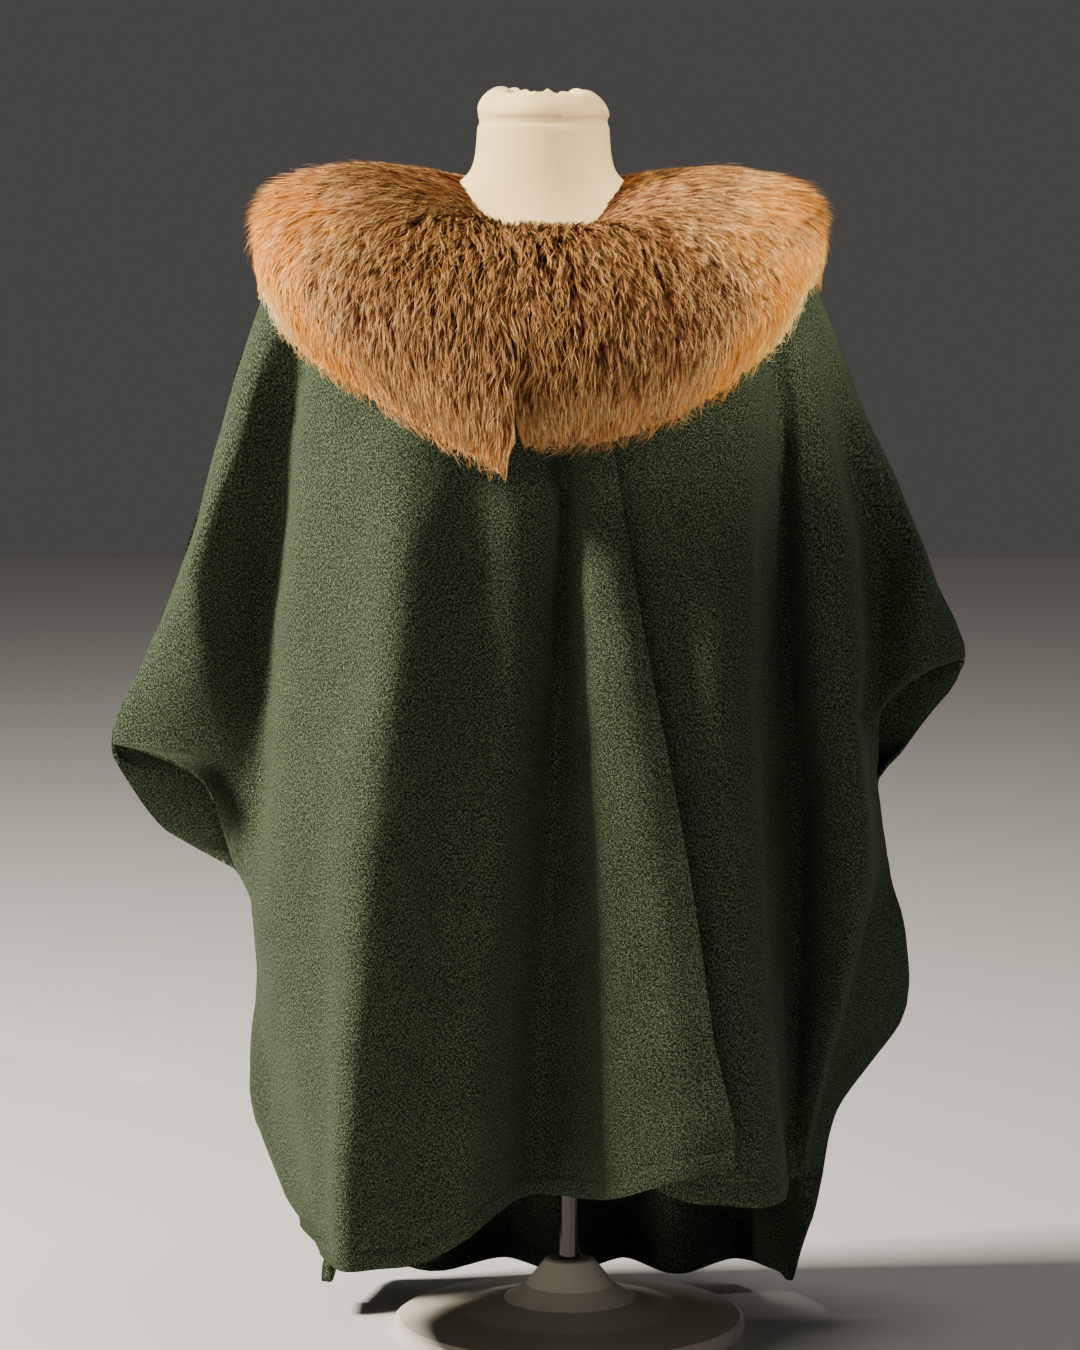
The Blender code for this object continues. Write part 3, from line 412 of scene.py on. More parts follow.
def section(panel, z):
    """The panel's stations at one height, side edges included, as rows of x, y and z."""
    inner = fold_stations(panel["folds"], z)
    first = side_edge(panel["side"], z)
    xs = spread(inner[:, 0], first[0], panel["towards"])
    if "corner" in panel:
        inner[:, 1] = uncrowded(inner, xs, first[1],
                                smooth_step((panel["corner"][0] - z) / panel["corner"][1]))
    ends = []
    if "far_side" in panel:
        last = side_edge(panel["far_side"], z)
        xs = spread(xs[::-1], last[0], -panel["towards"])[::-1]
        ends = [(last[0], last[1], z)]
    points = [(first[0], first[1], z)] + [(x, y, z) for x, y in zip(xs, inner[:, 1])] + ends
    points = np.array(points)
    bottom = panel["levels"][-1]
    if z < LEVEL_ABOVE:
        share = (LEVEL_ABOVE - z) / (LEVEL_ABOVE - bottom)
        for point in points:
            hem = table_point(panel["hem"], 1, point[0])
            point[2] = LEVEL_ABOVE + (hem - LEVEL_ABOVE) * share
    return points


def ring_stations(panel):
    """The same stations where the yoke ends, spread along the ring as they are at the first height."""
    first = section(panel, FOLD_HEIGHTS[0])[:, 0]
    start = side_edge(panel["side"], RING["z"])[0]
    end = side_edge(panel["far_side"], RING["z"])[0] if "far_side" in panel else panel["ring_end"]
    shares = (first - first[0]) / (first[-1] - first[0])
    angles = [angle_at(start + (end - start) * share, panel["back"]) for share in shares]
    angles[0] = 0.0 if panel["towards"] > 0 else math.pi
    if "far_side" in panel:
        angles[-1] = -math.pi
    return angles


def panel_stations(panel):
    """Rows of stations from the neckline to the hem."""
    lower = panel["lower"]
    angles = ring_stations(panel)
    rows = []
    for share in panel["yoke_steps"]:
        rows.append([yoke_point(a, share, ring_point(a) + lowered(a, lower), lower) for a in angles])
    rows.append([ring_point(a) + lowered(a, lower) for a in angles])
    for z in panel["levels"]:
        rows.append(section(panel, z))
    return np.array(rows, float)


def lowered(angle, lower):
    drop = lower * math.sin(angle) ** 2
    return np.array((0.0, drop, 0.0))


def mirrored_share(y):
    """1 where an edge is sewn at y = 0, and 0 where it stands open."""
    return max(0.0, 1.0 - abs(y) / SEWN_WITHIN)


def beyond(edge, inner):
    """The point that carries a row on past its edge: the mirror image on a seam, or straight on."""
    sewn = mirrored_share(edge[1])
    image = inner * np.array((1.0, -1.0, 1.0))
    return sewn * image + (1 - sewn) * (2 * edge - inner)


def refined(rows, parts, far_sewn):
    """Each row of stations with more points between them, on a smooth curve."""
    found = []
    for row in rows:
        last = beyond(row[-1], row[-2]) if far_sewn else 2 * row[-1] - row[-2]
        knots = np.vstack((beyond(row[0], row[1]), row, last))
        line = []
        for i in range(1, len(knots) - 2):
            for step in range(parts):
                line.append(spline(knots[i - 1], knots[i], knots[i + 1], knots[i + 2], step / parts))
        line.append(row[-1])
        found.append(line)
    return np.array(found)


def spline(a, b, c, d, t):
    """A smooth curve from b to c, its tangents scaled so that uneven steps don't make it swing."""
    span = np.linalg.norm(c - b) + 1e-9
    before = np.linalg.norm(b - a) + 1e-9
    after = np.linalg.norm(d - c) + 1e-9
    start = span * ((b - a) / before * span + (c - b) / span * before) / (before + span)
    end = span * ((c - b) / span * after + (d - c) / after * span) / (after + span)
    return (
        (1 + 2 * t) * (1 - t) ** 2 * b
        + t * (1 - t) ** 2 * start
        + t * t * (3 - 2 * t) * c
        + t * t * (t - 1) * end
    )


def normals_of(grid, far_sewn):
    """Unit normals at a grid's points. On a seam they lie in the seam's plane."""
    first = np.array([beyond(row[0], row[1]) for row in grid])
    last = np.array([beyond(row[-1], row[-2]) if far_sewn else 2 * row[-1] - row[-2] for row in grid])
    wide = np.concatenate((first[:, None], grid, last[:, None]), axis=1)
    along = wide[:, 2:] - wide[:, :-2]
    down = np.gradient(grid, axis=0)
    found = np.cross(along, down)
    return found / np.linalg.norm(found, axis=2, keepdims=True)


def keep_sides(grid, half_gap, back):
    """Moves a panel's points off the seam plane by half the seam's gap."""
    sign = 1.0 if back else -1.0
    grid[..., 1] = sign * np.maximum(sign * grid[..., 1], half_gap)
    return grid


def right_front():
    side = RIGHT_SEAM_TOP + RIGHT_CUFF_FRONT + RIGHT_SEAM_LOW + RIGHT_CORNER_FRONT
    levels = (0.846, 0.770, 0.690, 0.610, 0.536, 0.530, 0.519, 0.507, 0.461, 0.424, 0.365, 0.300, 0.220,
              0.178,
              0.136, 0.104)
    return dict(folds=RIGHT_FRONT_FOLDS, side=side, hem=RIGHT_FRONT_HEM, levels=levels, towards=1.0,
                back=False,
                ring_end=0.026, lower=0.0, outwards=-1.0, corner=(0.178, 0.030))


def left_front():
    side = LEFT_SEAM_TOP + LEFT_CUFF_FRONT + LEFT_SEAM_LOW + LEFT_CORNER_FRONT
    levels = (0.846, 0.766, 0.690, 0.617, 0.607, 0.589, 0.562, 0.504, 0.440, 0.375, 0.316, 0.286, 0.249,
              0.209,
              0.161)
    return dict(folds=LEFT_FRONT_FOLDS, side=side, hem=LEFT_FRONT_HEM, levels=levels, towards=-1.0,
                back=False,
                ring_end=0.010, lower=LAYER, outwards=1.0)


def back():
    side = RIGHT_SEAM_TOP + RIGHT_CUFF_BACK + RIGHT_SEAM_LOW + RIGHT_CORNER_BACK
    far_side = LEFT_SEAM_TOP + LEFT_CUFF_BACK + LEFT_SEAM_LOW + LEFT_CORNER_BACK
    levels = (0.846, 0.766, 0.690, 0.617, 0.592, 0.559, 0.536, 0.504, 0.491, 0.452, 0.424, 0.360, 0.316,
              0.270,
              0.220, 0.169, 0.111, 0.062, 0.033)
    return dict(folds=BACK_FOLDS, side=side, far_side=far_side, hem=BACK_HEM, levels=levels, towards=1.0,
                back=True, lower=0.0, outwards=1.0)


def collar_end(angle, z):
    """A point of the collar's lower edge. The skin widens below the ring as the cloth does."""
    below = max(0.0, RING["z"] - z)
    front = RING["front"] + COLLAR_LIFTS[-1][1] + COLLAR_FLARE * below
    depth = RING["back"] + COLLAR_LIFTS[-1][1] + COLLAR_FLARE * below
    above = max(0.0, z - RING["z"])
    half = RING["half"] - COLLAR_NARROWS * above
    x, y = oval(angle, half, front, depth, RING["power"])
    return np.array((CENTRE_X + x, y, z))


def collar_columns(right, count_front, count_back):
    """The collar's columns from the centre front round to the centre back: share of the way from the side,
    angle on the ring, angle on the neckline and whether it lies in front."""
    side = 0.0 if right else math.pi
    ring_join = angle_at(COLLAR_JOIN_X, False)
    neck_join = math.acos((CENTRE_X - COLLAR_JOIN_X) / NECKLINE["half"])
    end = -math.pi / 2 if right else 3 * math.pi / 2
    found = []
    for i in range(count_front, -1, -1):
        share = i / count_front
        found.append((share, side + (ring_join - side) * share, side + (neck_join - side) * share, True))
    for i in range(1, count_back + 1):
        share = i / count_back
        angle = side + (end - side) * share
        found.append((share, angle, angle, False))
    return found


def held(x, plane, sign):
    """Keeps points on their side of a plane, half a gap away."""
    return plane + sign * np.maximum(sign * (x - plane), GAP / 2)


def collar_normals(skin, planes):
    """Normals pointing up and out. At the centre front and back they lie in the plane where the halves
    meet."""
    first = skin[:, 1] * np.array((-1.0, 1.0, 1.0)) + np.array((2 * planes[0], 0.0, 0.0))
    last = skin[:, -2] * np.array((-1.0, 1.0, 1.0)) + np.array((2 * planes[1], 0.0, 0.0))
    wide = np.concatenate((first[:, None], skin, last[:, None]), axis=1)
    found = np.cross(wide[:, 2:] - wide[:, :-2], np.gradient(skin, axis=0))
    found /= np.linalg.norm(found, axis=2, keepdims=True)
    middle = skin[skin.shape[0] // 2, skin.shape[1] // 2]
    outward = middle - np.array((CENTRE_X, 0.0, middle[2] - 0.05))
    if np.dot(found[skin.shape[0] // 2, skin.shape[1] // 2], outward) < 0:
        found = -found
    return found


def form_rings(columns):
    """Rings of the dress form from the top of the neck down to the bottom of the torso."""
    angles = [2 * math.pi * i / columns for i in range(columns)]
    rings = []
    for radius, z in NECK_RINGS:
        rings.append([(NECK_X - radius * math.cos(a), -radius * math.sin(a), z) for a in angles])
    for share in FORM_SHARES:
        rings.append([below_cloth(a, share) for a in angles])
    for z, half, front, rear, middle in TORSO_RINGS:
        ring = []
        for a in angles:
            x, y = oval(a, half, front, rear, RING["power"])
            ring.append((middle + x, y, z))
        rings.append(ring)
    return np.array(rings, float)


def below_cloth(angle, share):
    """A point of the form: just clear of the cloth on the shoulder line, and further down beside it."""
    here = yoke_point(angle, share, ring_point(angle))
    along = yoke_point(angle + NEARBY, share, ring_point(angle + NEARBY)) - here
    out = yoke_point(angle, share + NEARBY, ring_point(angle)) - here
    normal = np.cross(along, out)
    normal /= np.linalg.norm(normal)
    if normal[2] < 0:
        normal = -normal
    sink = WALL + FORM_CLEAR + FORM_SINK * (1 - math.exp(-((here[1] / FORM_RIDGE) ** 2)))
    found = here - normal * sink
    if share == 0:
        centre = np.array((CENTRE_X, 0.0))
        found[:2] = centre + (found[:2] - centre) * FORM_NECK
    return found


# Shells of cloth.
def dense_levels(panel):
    """Heights of the rows below the ring: the table's own heights, with more between them."""
    tops = [RING["z"]] + list(panel["levels"])
    found = []
    for high, low in zip(tops, tops[1:]):
        count = max(1, round((high - low) / ROW_STEP))
        found.extend(high + (low - high) * (i + 1) / count for i in range(count))
    bottom = found[-1]
    start = bottom + HEM["fine"]
    coarse = [z for z in found if z > start]
    count = round(HEM["fine"] / HEM["step"])
    return coarse + [start + (bottom - start) * i / count for i in range(count + 1)]


def soft_noise(points, size, seed):
    """A smooth, uneven field from -1 to 1 with features about this large: a sum of a few plane waves."""
    rng = np.random.default_rng(seed)
    total = np.zeros(points.shape[:-1])
    for _ in range(WAVES):
        way = rng.normal(size=3)
        way /= np.linalg.norm(way)
        turns = rng.uniform(0.6, 1.6) / size
        total += np.sin(2 * math.pi * (points @ way * turns + rng.uniform()))
    return total / math.sqrt(WAVES)


def bumped(points, normals, creases, seed):
    """The cloth's own unevenness: soft troughs and ridges, and the slight wave of felted wool."""
    depth = LARGE_WAVE[1] * soft_noise(points, LARGE_WAVE[0], seed)
    depth += SMALL_WAVE[1] * soft_noise(points, SMALL_WAVE[0], seed + 1)
    x, z = points[..., 0], points[..., 2]
    for x0, z0, x1, z1, width, height, bow in creases:
        run = np.array((x1 - x0, z1 - z0))
        length = np.linalg.norm(run)
        run /= length
        along = ((x - x0) * run[0] + (z - z0) * run[1]) / length
        off = (x - x0) * run[1] - (z - z0) * run[0] - bow * 4 * along * (1 - along)
        fade = np.clip(along * 3, 0, 1) * np.clip((1 - along) * 3, 0, 1)
        depth += height * fade * np.exp(-((off / width) ** 2))
    free = np.clip((BUMPS_BELOW - z) / BUMPS_FADE, 0, 1)
    return points + normals * (depth * free)[..., None]


def distance_to(points, line):
    """The distance from each point to a polyline's points, and which of them is nearest."""
    flat = points.reshape(-1, 3)
    best = np.full(len(flat), np.inf)
    for start in range(0, len(line), CHUNK):
        part = line[start:start + CHUNK]
        gap = np.linalg.norm(flat[:, None] - part[None], axis=2).min(1)
        best = np.minimum(best, gap)
    return best.reshape(points.shape[:-1])


def closer(line, step):
    """A polyline with more points on it."""
    found = []
    for a, b in zip(line, line[1:]):
        count = max(1, int(np.linalg.norm(b - a) / step))
        found.extend(a + (b - a) * i / count for i in range(count))
    found.append(line[-1])
    return np.array(found)


def open_edges(grid, panel):
    """The edges that are turned and stitched: the hem, and the stretches of the sides that aren't sewn."""
    lines = [grid[-1]]
    sides = [0, -1] if "far_side" in panel else [0]
    for column in sides:
        line = grid[:, column]
        open_rows = (np.abs(line[:, 1]) > OPEN_FROM) & (line[:, 2] < RING["z"])
        runs = np.flatnonzero(np.diff(np.concatenate(([0], open_rows.astype(int), [0]))))
        for first, last in runs.reshape(-1, 2):
            if last - first > 1:
                lines.append(line[first:last])
    return lines


def smooth_step(value):
    value = np.clip(value, 0, 1)
    return value * value * (3 - 2 * value)


def shell_mesh(name, outer, inner, uv, layer_name="Weave"):
    """A closed wall between two grids, built from whole arrays, with the weave's own coordinates."""
    rows, columns = outer.shape[:2]
    count = rows * columns
    points = np.concatenate((outer.reshape(-1, 3), inner.reshape(-1, 3)))
    index = np.arange(count).reshape(rows, columns)
    a, b, c, d = index[:-1, :-1], index[1:, :-1], index[1:, 1:], index[:-1, 1:]
    front = np.stack((a, b, c, d), -1).reshape(-1, 4)
    behind = np.stack((a, d, c, b), -1).reshape(-1, 4) + count
    rim = []
    for line, turn in ((index[0], 1), (index[-1], 0), (index[:, 0], 0), (index[:, -1], 1)):
        p, q = line[:-1], line[1:]
        quad = np.stack((p, p + count, q + count, q), -1)
        rim.append(quad[:, ::-1] if turn else quad)
    faces = np.concatenate([front, behind] + rim)
    mesh = array_mesh(name, points, faces)
    if volume_of(points, faces) < 0:
        mesh.flip_normals()
    give_map(mesh, layer_name, np.concatenate((uv, uv)).reshape(-1, 2)[corners_of(mesh)])
    return mesh


def corners_of(mesh):
    """Which point lies at each corner of each face."""
    found = np.zeros(len(mesh.loops), np.int32)
    mesh.loops.foreach_get("vertex_index", found)
    return found


def give_map(mesh, name, places):
    """Gives each corner its place on a map of this name."""
    mesh.uv_layers.new(name=name).uv.foreach_set("vector", places.astype(np.float32).ravel())


def array_mesh(name, points, faces, tris=None):
    """A mesh from an array of points and arrays of four-sided and three-sided faces."""
    mesh = bpy.data.meshes.new(name)
    quads = np.asarray(faces, np.int32).reshape(-1, 4)
    tris = np.zeros((0, 3), np.int32) if tris is None else np.asarray(tris, np.int32)
    corners = np.concatenate((quads.ravel(), tris.ravel()))
    starts = np.concatenate((np.arange(len(quads)) * 4, len(quads) * 4 + np.arange(len(tris)) * 3))
    mesh.vertices.add(len(points))
    mesh.vertices.foreach_set("co", np.asarray(points, np.float32).ravel())
    mesh.loops.add(len(corners))
    mesh.loops.foreach_set("vertex_index", corners.astype(np.int32))
    mesh.polygons.add(len(starts))
    mesh.polygons.foreach_set("loop_start", starts.astype(np.int32))
    mesh.update(calc_edges=True)
    mesh.validate()
    return mesh


def volume_of(points, quads):
    a, b, c, d = (points[quads[:, i]] for i in range(4))
    return float((a * np.cross(b, c)).sum() + (a * np.cross(c, d)).sum())


def placed(name, mesh, material, sharp=50):
    mesh.materials.append(material)
    mesh.shade_smooth()
    if sharp:
        mesh.set_sharp_from_angle(angle=math.radians(sharp))
    made = bpy.data.objects.new(name, mesh)
    bpy.context.scene.collection.objects.link(made)
    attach(made, "root")
    return made


def weave_places(grid):
    """Coordinates on the cloth in metres: across from the side, and down from the neckline."""
    across = np.linalg.norm(np.diff(grid, axis=1), axis=2)
    down = np.linalg.norm(np.diff(grid, axis=0), axis=2)
    middle = grid.shape[1] // 2
    u = np.concatenate((np.zeros((len(grid), 1)), np.cumsum(across, axis=1)), axis=1)
    u -= u[:, middle:middle + 1]
    v = np.concatenate((np.zeros((1, grid.shape[1])), np.cumsum(down, axis=0)), axis=0)
    return np.stack((u, v), -1)


def cloth_shell(name, panel, creases, seed):
    """One panel's outer grid, inner grid, normals, and how far each point is from a turned edge."""
    fine = dict(panel, levels=dense_levels(panel), yoke_steps=FINE_YOKE)
    far_sewn = "far_side" in panel
    outer = refined(panel_stations(fine), COLUMN_PARTS, far_sewn)
    height = outer[1:-1, :, 2:]
    share = smooth_step((height - SOFT_TURN["low"]) / SOFT_TURN["over"])
    share = share * smooth_step((SOFT_TURN["high"] - height) / SOFT_TURN["over"]) / 2
    for _ in range(SOFT_TURN["times"]):
        outer[1:-1] += share * ((outer[:-2] + outer[2:]) / 2 - outer[1:-1])
    normals = normals_of(outer, far_sewn) * panel["outwards"]
    outer = bumped(outer, normals, creases, seed)
    edge = np.concatenate([closer(line, HEM["every"]) for line in open_edges(outer, panel)])
    away = distance_to(outer, edge)
    turned = smooth_step((HEM["wide"] - away) / HEM["soft"])
    stitch = np.exp(-(((away - HEM["stitch"]) / HEM["groove"]) ** 2))
    rounding = np.exp(-((away / HEM["round"]) ** 2))
    puff = turned * HEM["puff"] - stitch * HEM["dent"] - rounding * HEM["pull"]
    raised = outer + normals * puff[..., None]
    wall = WALL + turned * HEM["fold"] - rounding * HEM["pull"]
    inner = outer - normals * wall[..., None]
    raised = keep_sides(raised, GAP / 2, panel["back"])
    inner = keep_sides(inner, GAP / 2, panel["back"])
    return raised, inner, normals, away


def stitch_line(grid, normals, away):
    """Places of the stitches: where the distance from the turned edge passes the stitch line's."""
    level = HEM["stitch"]
    places = []
    for axis in (0, 1):
        here, there = (away[:-1], away[1:]) if axis == 0 else (away[:, :-1], away[:, 1:])
        crossing = (here - level) * (there - level) < 0
        rows, columns = np.nonzero(crossing)
        share = (level - here[crossing]) / (there[crossing] - here[crossing])
        ahead = (rows + 1, columns) if axis == 0 else (rows, columns + 1)
        point = grid[rows, columns] + (grid[ahead] - grid[rows, columns]) * share[:, None]
        places.append(np.concatenate((point, normals[rows, columns]), axis=1))
    places = np.concatenate(places)
    return chained(places)


def chained(places):
    """The places in the order in which the seam runs through them, as lists of neighbours."""
    left = list(range(len(places)))
    chains = []
    points = places[:, :3]
    while left:
        start = min(left, key=lambda i: (points[i, 0] + points[i, 2] * 0.3))
        chain = [start]
        left.remove(start)
        while left:
            rest = np.array(left)
            gaps = np.linalg.norm(points[rest] - points[chain[-1]], axis=1)
            near = int(np.argmin(gaps))
            if gaps[near] > STITCH["jump"]:
                break
            chain.append(int(rest[near]))
            left.remove(int(rest[near]))
        if len(chain) > STITCH["fewest"]:
            chains.append(places[chain])
    return chains


def stitches(name, chains, material):
    """Short raised stitches along the chains."""
    points, faces = [], []
    for chain in chains:
        gaps = np.linalg.norm(np.diff(chain[:, :3], axis=0), axis=1)
        at = np.concatenate(([0.0], np.cumsum(gaps)))
        for start in np.arange(STITCH["step"], at[-1] - STITCH["step"], STITCH["step"]):
            ends = [start, start + STITCH["long"]]
            a, b = (np.array([np.interp(e, at, chain[:, k]) for k in range(6)]) for e in ends)
            up = a[3:] / np.linalg.norm(a[3:])
            way = b[:3] - a[:3]
            size = np.linalg.norm(way)
            if size < STITCH["least"]:
                continue
            way /= size
            side = np.cross(way, up) * STITCH["thick"]
            first = len(points)
            tall = up * STITCH["thick"] * STITCH_HALF_HEIGHT
            for t, high, broad in STITCH_SHAPE:
                middle = a[:3] + way * size * t + up * STITCH["thick"] * high
                points.extend((middle + side * broad, middle + tall, middle - side * broad, middle - tall))
            for ring in range(3):
                for k in range(4):
                    j = (k + 1) % 4
                    low = first + ring * 4
                    faces.append((low + k, low + j, low + 4 + j, low + 4 + k))
            faces.append((first, first + 3, first + 2, first + 1))
            faces.append((first + 12, first + 13, first + 14, first + 15))
    return placed(name, array_mesh(name, np.array(points), faces), material)


def build_cloth(loden, thread, fuzz):
    """The three panels, their stitches and the loose fibres on them."""
    parts = (
        ("right_front", right_front(), RIGHT_CREASES, 11, (0.66, 1.06)),
        ("left_front", left_front(), LEFT_CREASES, 23, (0.52, 1.00)),
        ("back", back(), BACK_CREASES, 37, (1.00, 1.12)),
    )
    shells = []
    for name, panel, creases, seed, flat in parts:
        outer, inner, normals, away = cloth_shell(name, panel, creases, seed)
        uv = weave_places(outer)
        piece = placed(f"loden_{name}", shell_mesh(name + "_shell", outer, inner, uv), loden)
        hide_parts(name)
        sewn = stitches(f"stitches_{name}", stitch_line(outer, normals, away), thread)
        hairs = fuzz_piece(f"fuzz_{name}", outer, normals, seed, fuzz)
        shells.append(piece)
    return shells


def area_of(grid):
    a, b, c, d = grid[:-1, :-1], grid[1:, :-1], grid[1:, 1:], grid[:-1, 1:]
    first = np.linalg.norm(np.cross(b - a, c - a), axis=2).sum() / 2
    return float(first + np.linalg.norm(np.cross(c - a, d - a), axis=2).sum() / 2)


# Loose hair and fibres.
def ribbons(name, lines, widths, sides, uv=None):
    """Tapered flat strands: lines is strands x points x 3, widths and sides give the ribbon's edges."""
    count, steps = lines.shape[:2]
    left = lines[:, :-1] + sides[:, :-1] * widths[:, :-1, None]
    right = lines[:, :-1] - sides[:, :-1] * widths[:, :-1, None]
    tip = lines[:, -1:]
    points = np.concatenate((left, right, tip), axis=1)
    stride = 2 * (steps - 1) + 1
    base = np.arange(count)[:, None] * stride
    quads, tris = [], []
    for i in range(steps - 2):
        quads.append(base + np.array((i, i + 1, steps - 1 + i + 1, steps - 1 + i)))
    tris.append(base + np.array((steps - 2, stride - 1, 2 * (steps - 1) - 1)))
    quads = np.stack(quads, 1).reshape(-1, 4)
    mesh = array_mesh(name, points.reshape(-1, 3), quads, np.concatenate(tris))
    if uv is not None:
        across, bins = uv
        u_left = (bins + 0.5 - across) / HAIR_BINS
        u_right = (bins + 0.5 + across) / HAIR_BINS
        share = np.linspace(0, 1, steps)
        u = np.concatenate((np.repeat(u_left[:, None], steps - 1, 1), np.repeat(u_right[:, None], steps - 1,
                                                                                1),
                            ((u_left + u_right) / 2)[:, None]), axis=1)
        v = np.concatenate((np.tile(share[:-1], (count, 2)), np.ones((count, 1))), axis=1)
        places = np.stack((u, 0.002 + 0.996 * v), -1).reshape(-1, 2)
        give_map(mesh, "OFBake", places[corners_of(mesh)])
    return mesh


def sampled(grid, rng, count, weight=None):
    """Random places on a grid, even over its area: row and column as fractions of a cell's index."""
    a, b, c, d = grid[:-1, :-1], grid[1:, :-1], grid[1:, 1:], grid[:-1, 1:]
    size = np.linalg.norm(np.cross(c - a, d - b), axis=2) / 2
    if weight is not None:
        size = size * weight
    total = np.cumsum(size.ravel())
    pick = np.searchsorted(total, (np.arange(count) + rng.uniform(size=count)) / count * total[-1])
    pick = np.minimum(pick, size.size - 1)
    rows, columns = np.unravel_index(pick, size.shape)
    return rows + rng.uniform(size=count), columns + rng.uniform(size=count)


def at_grid(grid, row, column):
    """Values of a grid between its points. Rows past the last one go straight on."""
    last_row, last_column = grid.shape[0] - 1, grid.shape[1] - 1
    i = np.clip(np.floor(row).astype(int), 0, last_row - 1)
    j = np.clip(np.floor(column).astype(int), 0, last_column - 1)
    s = (row - i)
    t = np.clip(column - j, 0, 1)
    if grid.ndim == 3:
        s, t = s[..., None], t[..., None]
    top = grid[i, j] * (1 - t) + grid[i, j + 1] * t
    low = grid[i + 1, j] * (1 - t) + grid[i + 1, j + 1] * t
    return top + (low - top) * s


def unit(v):
    return v / np.maximum(np.linalg.norm(v, axis=-1, keepdims=True), 1e-12)


def fuzz_piece(name, grid, normals, seed, material):
    """Short pale fibres that stand off the felted cloth."""
    rng = np.random.default_rng(seed + 100)
    start = int(np.searchsorted(-grid[:, grid.shape[1] // 2, 2], -FUZZ["below"]))
    grid, normals = grid[start:], normals[start:]
    count = int(area_of(grid) * FUZZ["per_m2"])
    row, column = sampled(grid, rng, count)
    root = at_grid(grid, row, column)
    up = unit(at_grid(normals, row, column))
    way = unit(rng.normal(size=(count, 3)) + np.array(FUZZ["lean"]))
    way = unit(way - up * (way * up).sum(1, keepdims=True))
    long = FUZZ["long"] * rng.lognormal(0.0, FUZZ["uneven"], count)[:, None]
    rise = rng.uniform(*FUZZ["rise"], (count, 1)) ** FUZZ["rise_power"]
    bend = unit(rng.normal(size=(count, 3))) * long * FUZZ["bend"]
    lines = np.stack([root - up * FUZZ["sunk"] + way * long * t + up * long * rise * t * (1.6 - 0.8 * t)
                      + bend * 4 * t * (1 - t) * 0.5 for t in FUZZ["at"]], 1)
    sides = unit(np.cross(way, up))[:, None] * np.ones((1, 3, 1))
    widths = np.array(FUZZ["taper"]) * FUZZ["half_width"] * rng.uniform(0.7, 1.3, (count, 1))
    return placed(name, ribbons(name, lines, widths, sides), material, 0)


# The fur collar.
def fullness_at(angle, right):
    side = COLLAR_FULLNESS["right" if right else "left"]
    return mix(side, COLLAR_FULLNESS["front"], COLLAR_FULLNESS["back"], angle)


def fine_collar(right):
    """One half of the collar on close rows and columns: the skin, its normals and the fur's depth."""
    steps = FUR_GRID["down"]
    shares = [i / steps for i in range(steps + 1)]
    edge = COLLAR_RIGHT_FRONT if right else COLLAR_LEFT_FRONT
    columns, ways, fullness = [], [], []
    for share, angle, neck_angle, in_front in collar_columns(right, FUR_GRID["front"], FUR_GRID["back"]):
        z = table_point(edge if in_front else COLLAR_BACK, 1, share)
        end = collar_end(angle, z)
        reach = mix(COLLAR_REACH["side"], COLLAR_REACH["front"], COLLAR_REACH["back"], angle)
        columns.append([yoke_point(angle, s, end, reach=reach, neck_angle=neck_angle) for s in shares])
        ways.append((share, in_front))
        fullness.append(fullness_at(angle, right))
    skin = np.array(columns).transpose(1, 0, 2)
    lifts = np.array([table_point(COLLAR_LIFTS, 1, share) for share in shares])
    skin[..., 2] += lifts[:, None]
    sign = -1.0 if right else 1.0
    planes = (COLLAR_JOIN_X, CENTRE_X)
    off = planes[0] - skin[:, 0, 0]
    for column, (share, in_front) in enumerate(ways):
        if in_front:
            skin[:, column, 0] += off * table_point(COLLAR_DRAWN_SHARES, 1, share)
    normals = collar_normals(skin, planes)
    depths = np.array([table_point(COLLAR_DEPTHS, 1, share) for share in shares])[:,
                                                                                  None] * np.array(fullness)
    down = np.array(shares)[:, None]
    outward = np.array([1 - share for share, _ in ways])[None]
    shorter = NECK_SHORT["by"] + NECK_SHORT["front"] * np.array([share * in_front for share,
                                                                 in_front in ways])[None]
    depths = depths * (1 - shorter * np.exp(-down / NECK_SHORT["over"]))
    depths = depths * (1 - SIDE_THIN["by"] * smooth_step((down - SIDE_THIN["start"]) / SIDE_THIN["over"]) * outward ** 2)
    front_half = skin[..., 1] < 0
    skin[..., 0] = np.where(front_half, held(skin[..., 0], planes[0], sign), held(skin[..., 0], planes[1],
                                                                                  sign))
    z = skin[..., 2]
    away = np.abs(skin[..., 0] - planes[0])
    wave = JOIN_WAVE["high"] * np.sin(2 * math.pi * z / JOIN_WAVE["long"])
    wave += JOIN_WAVE["fine"] * np.sin(2 * math.pi * z / JOIN_WAVE["short"])
    shift = wave * np.exp(-away / JOIN_WAVE["near"])
    if right:
        shift -= JOIN_TIP["by"] * smooth_step((JOIN_TIP["below"] - z) / JOIN_TIP["over"]) * np.exp(
            -away / JOIN_TIP["near"])
    skin[..., 0] += np.where(front_half, shift, 0.0)
    side = np.array([1 - share for share, _ in ways])
    front = np.array([in_front for _, in_front in ways], float)
    return skin, normals, depths, side, front


def zone_at(down, side):
    """Which part of the pelt this is, from 0, dark and ticked, to 1, pale: by the way down and to the
    side."""
    outward = smooth_step((side - ZONE["side_from"]) / ZONE["side_over"])
    outward = outward * smooth_step((down - ZONE["neck_from"]) / ZONE["neck_over"])
    low = smooth_step((down - ZONE["down_from"]) / ZONE["down_over"])
    return np.clip(ZONE["base"] + ZONE["side"] * outward + ZONE["down"] * low, 0, 1)


